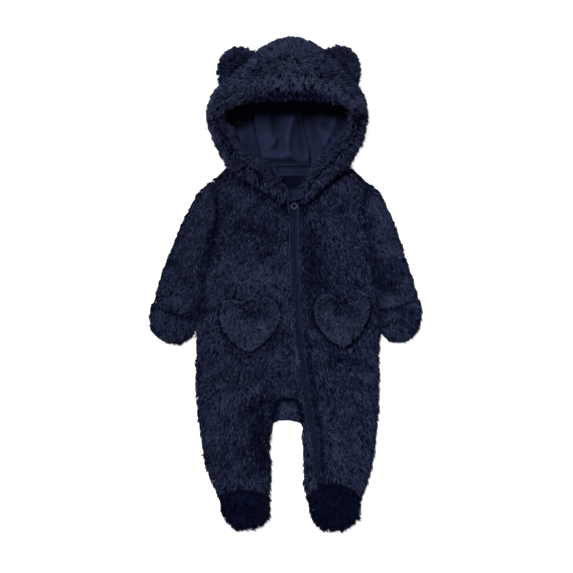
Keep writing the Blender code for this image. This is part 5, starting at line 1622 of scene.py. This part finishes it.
def neck_tape_shade(x, y):
    """How dark the neck tape is painted: painted shade along its two edges and its two ribs, and a little
    over all of it.
    """
    ribs = sum(bell(y - rib, 0.7) for rib in NECK_TAPE_RIBS)
    return 1.0 + 2.6 * ribs + 2.4 * ((y > 167.4) | (y < 158.4))


def make_neck_tape():
    """The jersey tape over the seam at the back of the neck, bowed down in its middle."""
    t = np.linspace(-1, 1, 7)[None]
    v = np.linspace(0, 1, 6)[:, None]
    x = np.linspace(*NECK_TAPE_X, 7)[None]
    y = NECK_TAPE_FOOT + NECK_TAPE_TALL * v - NECK_TAPE_BOW * (1 - t**2) * (1 - v)
    base = back_high(x, y) + LAID
    face, behind = finer(stack(x, y, base + JERSEY)), finer(stack(x, y, base))
    made = cloth("neck_tape", face, behind, "jersey")
    put_painted_shade(made, neck_tape_shade)
    dashes = stitches("neck_tape_stitches", [face[1], face[-2]], 3.2)
    sewn("neck_tape")


# --- pockets and zip ---


def make_pocket(side, heart):
    """A heart laid on a front: its points are the front's, moved out, and its edge is drawn in. The pile at
    its edge is short, upright and turned outwards, and painted light, most on its upper side: a painted
    highlight on the rim."""
    node = f"pocket_{side}"
    heart = np.array(heart, float)
    middle = heart.mean(0)
    rings = np.array(POCKET_RINGS)[:, None, None]
    plan = finer(middle + rings * (heart - middle), wrap=True)
    x, y = plan[..., 0], plan[..., 1]
    ring = np.interp(np.arange(len(plan)) / FINE, np.arange(len(POCKET_RINGS)), POCKET_RINGS)[:, None]
    base = front_high(x, y) - PILE_FOOT
    crown = (POCKET_THICK + PILE_FOOT) * (0.85 + 0.15 * ease((1 - ring) / 0.3)) + 5.4 * ease((1 - ring) / 0.5)
    outer = stack(x, y, base + crown)
    made = cloth(node, outer, stack(x, y, base + 0.2), wrap=True, shut=True)
    rim = plan[0]

    def outwards(root):
        return unit(root * (1, 1, 0) - (*middle, 0))

    def turn(root):
        return outwards(root), 0.45 * (1 - ease(to_points(root, rim) / 6.0))[:, None]

    def at_rim(root):
        return bell(to_points(root, rim), 5.0)

    # Painted highlight on the rim, most on its upper side; darker in the upper middle, a little darker higher
    # up and a little lighter all over
    def painted_light(root):
        upper = (root[:, 1] - middle[1]) / 25
        core = oval(root[:, 0] - middle[0], upper, (6, 0.45), (17, 0.45))
        return 0.30 * at_rim(root) * (0.75 + 0.25 * np.sign(upper)) - 0.24 * core - 0.06 * upper + 0.1

    def nap(root):
        near = at_rim(root)[:, None]
        return stack(0.012 * (root[:, 0] - middle[0]), -1.0, 0.0) * (1 - near) + outwards(root) * near

    pile = grow(node, outer, upward(outer, wrap=True), nap, wrap=True, turn=turn, painted_light=painted_light,
                trim=lambda root: 1 - 0.62 * at_rim(root), stand=lambda root: 18.0 * at_rim(root))
    sewn(node)


def zip_line():
    """The middle of the zip in plan, from its top to the foot seam."""
    x = np.r_[BODY["zip"][0], BODY["zip"][0], BODY["zip"]]
    y = np.r_[ZIP_TOP, 90.0, BODY["y"]]
    y[-1] = ZIP_FOOT
    return x, y


def zip_path(count=None, step=None):
    """Places along the zip's middle at equal steps, their directions to the right, and the tape's height."""
    x, y = smooth(np.stack(zip_line(), -1), 16 * 12 + 1).T
    run = np.r_[0, np.cumsum(np.hypot(np.diff(x), np.diff(y)))]
    count = count or int(run[-1] / step) + 1
    at = np.linspace(0, run[-1], count)
    x, y = np.interp(at, run, x), np.interp(at, run, y)
    ahead = unit(np.stack([np.gradient(x), np.gradient(y)], -1))
    return np.stack([x, y], -1), np.stack([-ahead[:, 1], ahead[:, 0]], -1), front_high(x, y) - TAPE_DROP


def repeated(name, part, faces, centre, right, finish):
    """Many copies of a small part as one mesh, each level and turned to its own right."""
    right = unit(right)
    up = np.broadcast_to(np.array([0.0, 0.0, 1.0]), right.shape)
    ahead = unit(np.cross(up, right))
    vertices = (
        centre[:, None]
        + part[None, :, :1] * right[:, None]
        + part[None, :, 1:2] * ahead[:, None]
        + part[None, :, 2:] * up[:, None]
    )
    first = len(part) * np.arange(len(centre))[:, None, None]
    return piece(name, vertices.reshape(-1, 3), (first + faces[None]).reshape(-1, faces.shape[1]), finish)


def bead(long, wide, tall):
    """A small closed bead: a ring of four round its middle between two ends."""
    ends = [(-long / 2, 0, 0), (long / 2, 0, 0)]
    ring = [(0, wide / 2, 0), (0, 0, tall / 2), (0, -wide / 2, 0), (0, 0, -tall / 2)]
    faces = [(0, 2, 1), (0, 3, 2), (0, 4, 3), (0, 1, 4), (5, 1, 2), (5, 2, 3), (5, 3, 4), (5, 4, 1)]
    return np.array([ends[0], *ring, ends[1]], float), np.array(faces)


def stitches(name, lines, pitch, long=2.2):
    """Dashes of thread along lines on the cloth, half sunk in it."""
    centres, ways = [], []
    for line in lines:
        run = np.r_[0, np.cumsum(np.linalg.norm(np.diff(line, axis=0), axis=1))]
        at = np.arange(pitch / 2, run[-1], pitch)
        centres.append(np.stack([np.interp(at, run, c) for c in line.T], -1))
        ways.append(np.stack([np.interp(at, run, c) for c in np.gradient(line, axis=0).T], -1))
    part, faces = bead(long, THREAD, THREAD)
    return repeated(name, part, faces, np.vstack(centres), np.vstack(ways), "thread")


def zip_tape_shadow(x, y):
    """How dark a zip tape is painted: the painted shadow of the guard at its top."""
    return 4.0 * ease((y - 106.0) / 8.0)


def make_zip():
    """Two woven tapes, the coil's two rows of teeth between them, and the cloth's folded edges beside
    them."""
    line, aside, top = zip_path(count=200)
    high = front_high(*line.T) - PILE_FOOT + 1.2
    at, turn, height = zip_path(step=TOOTH_PITCH)
    for side, way in (("left", -1), ("right", 1)):
        across = np.linspace(TAPE_SPLIT, ZIP_HALF - SEAM, 5)[None, :, None] * way
        plan = line[:, None] + across * aside[:, None]
        face = stack(plan[..., 0], plan[..., 1], (top - 0.2)[:, None])
        tape = cloth(f"zip_tape_{side}", face, face - (0, 0, TAPE_THICK), "tape")
        put_painted_shade(tape, zip_tape_shadow)
        centre = stack(at[:, 0], at[:, 1] + TOOTH_SHIFT[side], height + 0.1)
        centre[:, :2] += turn * way * TOOTH_OFF
        part, faces = bead(*TOOTH)
        teeth = repeated(f"zip_teeth_{side}", part, faces, centre, stack(*turn.T, 0.0), "coil")
        beside_it = line + way * (ZIP_HALF + 0.9) * aside
        cord = cord_along(f"zip_edge_{side}", beside_it, high, 1.45, "edge", flat=0.8)
        sewn(f"zip_tape_{side}")


def guard_shade(x, y):
    """How dark the guard is painted: painted shade in lines at its left and right, a painted shadow at its
    top, a painted highlight on its slanted lower hem, and lighter towards the right."""
    hem = ease((124.5 + 0.24 * (x - 14) - y) / 1.2)
    left, right, top = bell(x - 6.4, 1.1), bell(x - 25.6, 0.9), ease((y - 136.2) / 1.6)
    return 0.3 + 4.0 * left - 2.0 * hem + 3.0 * right + 4.0 * top - 0.13 * (x - 14)


def make_guard():
    """The jersey guard over the top of the zip, resting on the ends of the hood's band, with a cord down its
    left side."""
    t = np.linspace(-1, 1, 7)[None]
    v = np.linspace(0, 1, 5)[:, None]
    x = GUARD_MIDDLE + GUARD_HALF * t
    y = GUARD_FOOT + 2.7 * t * (1 - v) + GUARD_TALL * v + 2.0 * (1 - t**2) * v
    low = GUARD_LOW + 1.4 * np.sin(np.pi * v) - 0.4 * t**4 + 2.2 * (1 - v) ** 3
    face, behind = finer(stack(x, y, low + JERSEY)), finer(stack(x, y, low))
    made = cloth("zip_garage", face, behind, "guard")
    put_painted_shade(made, guard_shade)
    dashes = stitches("zip_garage_stitches", [face[2], face[:, 2], face[:, -3]], 2.6, long=1.8)
    knots = np.array(GUARD_CORD)
    line = along(knots[:, :2], 24)
    high = np.interp(line[:, 1], knots[::-1, 1], knots[::-1, 2])
    cord = cord_along("zip_garage_cord", line, high, 1.25, "edge", flat=0.8)
    sewn("zip_garage")


# --- finishes ---


def new_finish(name, rough, sheen=0.0, metal=0.0, specular=0.3):
    """A material, and its node tree and shader, with the values that are the same all over it."""
    made = bpy.data.materials.new(name)
    made.use_nodes = True
    shader = made.node_tree.nodes["Principled BSDF"]
    values = (rough, metal, specular, sheen, 0.45, (0.3, 0.4, 1.0, 1.0))
    for key, value in zip(SHADER_INPUTS, values):
        shader.inputs[key].default_value = value
    FINISH[name] = made
    return made.node_tree, shader


def put(tree, socket, value):
    """Feeds an input with another node's output, or with a value of its own."""
    if isinstance(value, bpy.types.NodeSocket):
        tree.links.new(value, socket)
    else:
        socket.default_value = value


def add(tree, kind, *inputs, **named):
    """A node with its settings and its inputs by name, or its first inputs in their order."""
    made = tree.nodes.new(kind)
    for key, value in named.items():
        if hasattr(made, key):
            setattr(made, key, value)
        else:
            put(tree, made.inputs[key.replace("_", " ")], value)
    for socket, value in zip(made.inputs, inputs):
        put(tree, socket, value)
    return made


def places(tree):
    """Each place on the piece in its own coordinates, in metres."""
    return add(tree, "ShaderNodeTexCoord").outputs["Object"]


def ramp(tree, fac, stops):
    """Colours at places from 0 to 1 along a value."""
    made = tree.nodes.new("ShaderNodeValToRGB")
    for k, (place, colour) in enumerate(stops):
        stop = made.color_ramp.elements[k] if k < 2 else made.color_ramp.elements.new(place)
        stop.position, stop.color = place, (*colour, 1.0)
    tree.links.new(fac, made.inputs[0])
    return made.outputs[0]


def fibre_finish(name, colours, sheen):
    """Pile: how light a blade is grows from its root to its tip and with its shade, both read from its map,
    and its colour goes with how light it is. The dark at the root is painted shade deep in the pile."""
    tree, shader = new_finish(name, 0.8, sheen=sheen, specular=0.04)
    spot = add(tree, "ShaderNodeUVMap", uv_map="fibre")
    split = add(tree, "ShaderNodeSeparateXYZ", spot.outputs[0])
    shade, height = (
        add(tree, "ShaderNodeMapRange", Value=split.outputs[k], From_Min=low, To_Min=dark).outputs[0]
        for k, low, dark in ((0, 0.0, 0.06), (1, 0.1, 0.12))
    )
    both = add(tree, "ShaderNodeMath", height, shade, operation="MULTIPLY")
    put(tree, shader.inputs["Base Color"], ramp(tree, both.outputs[0], colours))


def add_bump(tree, shader, height, strength, distance):
    """A bump as high as a value, in metres."""
    bump = add(tree, "ShaderNodeBump", Strength=strength, Distance=distance, Height=height)
    put(tree, shader.inputs["Normal"], bump.outputs[0])


def ground_finish(name, dark, light):
    """Ground cloth between the pile: mottled, with the fine loops of a knit as its bump."""
    tree, shader = new_finish(name, 0.9, specular=0.03)
    soft = add(tree, "ShaderNodeTexNoise", Vector=places(tree), Scale=220.0, Detail=3.0)
    put(tree, shader.inputs["Base Color"], ramp(tree, soft.outputs[0], ((0.3, dark), (0.7, light))))
    loops = add(tree, "ShaderNodeTexVoronoi", Vector=places(tree), Scale=900.0)
    add_bump(tree, shader, loops.outputs["Distance"], 0.5, 0.0006)


def knit_finish(name, dark, light, rib, sheen, rough, weft):
    """Jersey or tape: fine ribs up the cloth, crossed by its courses, over soft mottling. It is painted
    darker where its fold value is above zero and lighter where it is below: painted shade and painted light,
    as in a fold's trough and on its ridge."""
    tree, shader = new_finish(name, rough, sheen=sheen, specular=0.02)
    at = places(tree)
    soft = add(tree, "ShaderNodeTexNoise", Vector=at, Scale=60.0, Detail=4.0)
    ribs, courses = (
        add(tree, "ShaderNodeTexWave", bands_direction=way, Vector=at, Scale=scale, Distortion=0.4)
        for way, scale in (("X", rib), ("Y", rib * 1.35))
    )
    both = add(tree, "ShaderNodeMath", ribs.outputs["Fac"], courses.outputs["Fac"],
               operation="MULTIPLY" if weft else "MAXIMUM")
    mixed = add(tree, "ShaderNodeMath", both.outputs[0], 0.25, soft.outputs[0], operation="MULTIPLY_ADD")
    # Painted shade and painted light, read from the piece's fold attribute
    fold = add(tree, "ShaderNodeAttribute", attribute_name="fold")
    lit = add(tree, "ShaderNodeMapRange", Value=fold.outputs["Fac"], From_Min=-4.0, From_Max=4.0,
              To_Min=1.62, To_Max=0.38)
    colour = ramp(tree, mixed.outputs[0], ((0.35, dark), (0.85, light)))
    shaded = add(tree, "ShaderNodeVectorMath", colour, operation="SCALE", Scale=lit.outputs[0])
    put(tree, shader.inputs["Base Color"], shaded.outputs[0])
    add_bump(tree, shader, both.outputs[0], 0.35, 0.0003)


def hard_finish(name, dark, light, rough, metal, specular, scale):
    """Lacquered metal or nylon: a little cloudy, with fine wear in its gloss."""
    tree, shader = new_finish(name, rough, metal=metal, specular=specular)
    cloud = add(tree, "ShaderNodeTexNoise", Vector=places(tree), Scale=scale, Detail=5.0).outputs[0]
    put(tree, shader.inputs["Base Color"], ramp(tree, cloud, ((0.35, dark), (0.65, light))))
    gloss = add(tree, "ShaderNodeMapRange", Value=cloud, To_Min=rough * 0.7, To_Max=rough * 1.3)
    put(tree, shader.inputs["Roughness"], gloss.outputs[0])


def make_finishes():
    """All of the garment's finishes, from their tables."""
    for name, (sheen, stops) in FIBRES.items():
        fibre_finish(name, stops, sheen)
    for name, (dark, light) in GROUNDS.items():
        ground_finish(name, dark, light)
    for name, row in KNITS.items():
        knit_finish(name, **dict(zip(KNIT_COLUMNS, row)))
    for name, row in HARD_PARTS.items():
        hard_finish(name, **dict(zip(HARD_COLUMNS, row)))


# --- room ---


def make_floor():
    """A pale floor below the garment."""
    mesh = bpy.data.meshes.new("floor")
    mesh.from_pydata([(x, y, 0.0) for x, y in ((-6, -6), (6, -6), (6, 6), (-6, 6))], [], [(0, 1, 2, 3)])
    floor = bpy.data.objects.new("floor", mesh)
    bpy.context.scene.collection.objects.link(floor)
    tree, shader = new_finish("floor", 0.9)
    put(tree, shader.inputs["Base Color"], (0.93, 0.93, 0.93, 1.0))
    put(tree, shader.inputs["Emission Color"], (1.0, 1.0, 1.0, 1.0))
    put(tree, shader.inputs["Emission Strength"], 0.85)
    mesh.materials.append(FINISH["floor"])


def make_room():
    """The floor, soft light from the upper left and the camera straight above the garment."""
    make_floor()
    scene = bpy.context.scene
    scene.world = bpy.data.worlds.new("room")
    scene.world.use_nodes = True
    back = scene.world.node_tree.nodes["Background"]
    back.inputs["Color"].default_value = (1.0, 1.0, 1.0, 1.0)
    back.inputs["Strength"].default_value = 0.13
    for lamp in records(LAMP_COLUMNS, LAMPS):
        light = bpy.data.lights.new(lamp["name"], "SUN")
        light.energy, light.angle = lamp["strength"], lamp["spread"]
        sun = bpy.data.objects.new(lamp["name"], light)
        sun.rotation_euler = Vector(lamp["towards"]).to_track_quat("Z", "Y").to_euler()
        scene.collection.objects.link(sun)
    camera = bpy.data.cameras.new("camera")
    camera.sensor_width = SENSOR
    camera.lens = SENSOR * CAMERA_AT[2] / PICTURE_WIDTH
    camera.clip_start, camera.clip_end = 0.05, 50.0
    eye = bpy.data.objects.new("camera", camera)
    eye.location = Vector(CAMERA_AT) * MM
    scene.collection.objects.link(eye)
    scene.camera = eye
    scene.view_settings.view_transform = "Standard"
    scene.view_settings.look = "None"


def finish_metal(frame):
    """The slider and the pull keep their shape, with their edges rounded."""
    for name in ("zip_slider", "zip_pull"):
        part = frame["nodes"][name]
        part.material_slots[0].material = FINISH["metal"]
        bevel = part.modifiers.new("rounded", "BEVEL")
        bevel.width, bevel.segments, bevel.limit_method = 0.25 * MM, 2, "ANGLE"


def main():
    """Builds the whole garment round the frame's parts."""
    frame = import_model()
    make_finishes()
    make_room()
    make_body()
    make_gusset()
    make_sleeve("sleeve_left", SLEEVE_LEFT, ARMHOLE_LEFT)
    make_sleeve("sleeve_right", SLEEVE_RIGHT, ARMHOLE_RIGHT)
    make_cuff("cuff_left", CUFF_LEFT)
    make_cuff("cuff_right", CUFF_RIGHT)
    make_foot("left", FOOT_LEFT, INSTEP_RISE[0])
    make_foot("right", FOOT_RIGHT, INSTEP_RISE[1])
    make_hood_side("hood_left", HOOD_LEFT, CENTRE_X[0] - SEAM / 2)
    make_hood_side("hood_right", HOOD_RIGHT, CENTRE_X[1] + SEAM / 2)
    make_hood_centre()
    make_facing()
    make_lining()
    make_neck_tape()
    make_ear("left", EAR_LEFT)
    make_ear("right", EAR_RIGHT)
    make_pocket("left", HEART_LEFT)
    make_pocket("right", HEART_RIGHT)
    make_zip()
    make_guard()
    finish_metal(frame)


main()
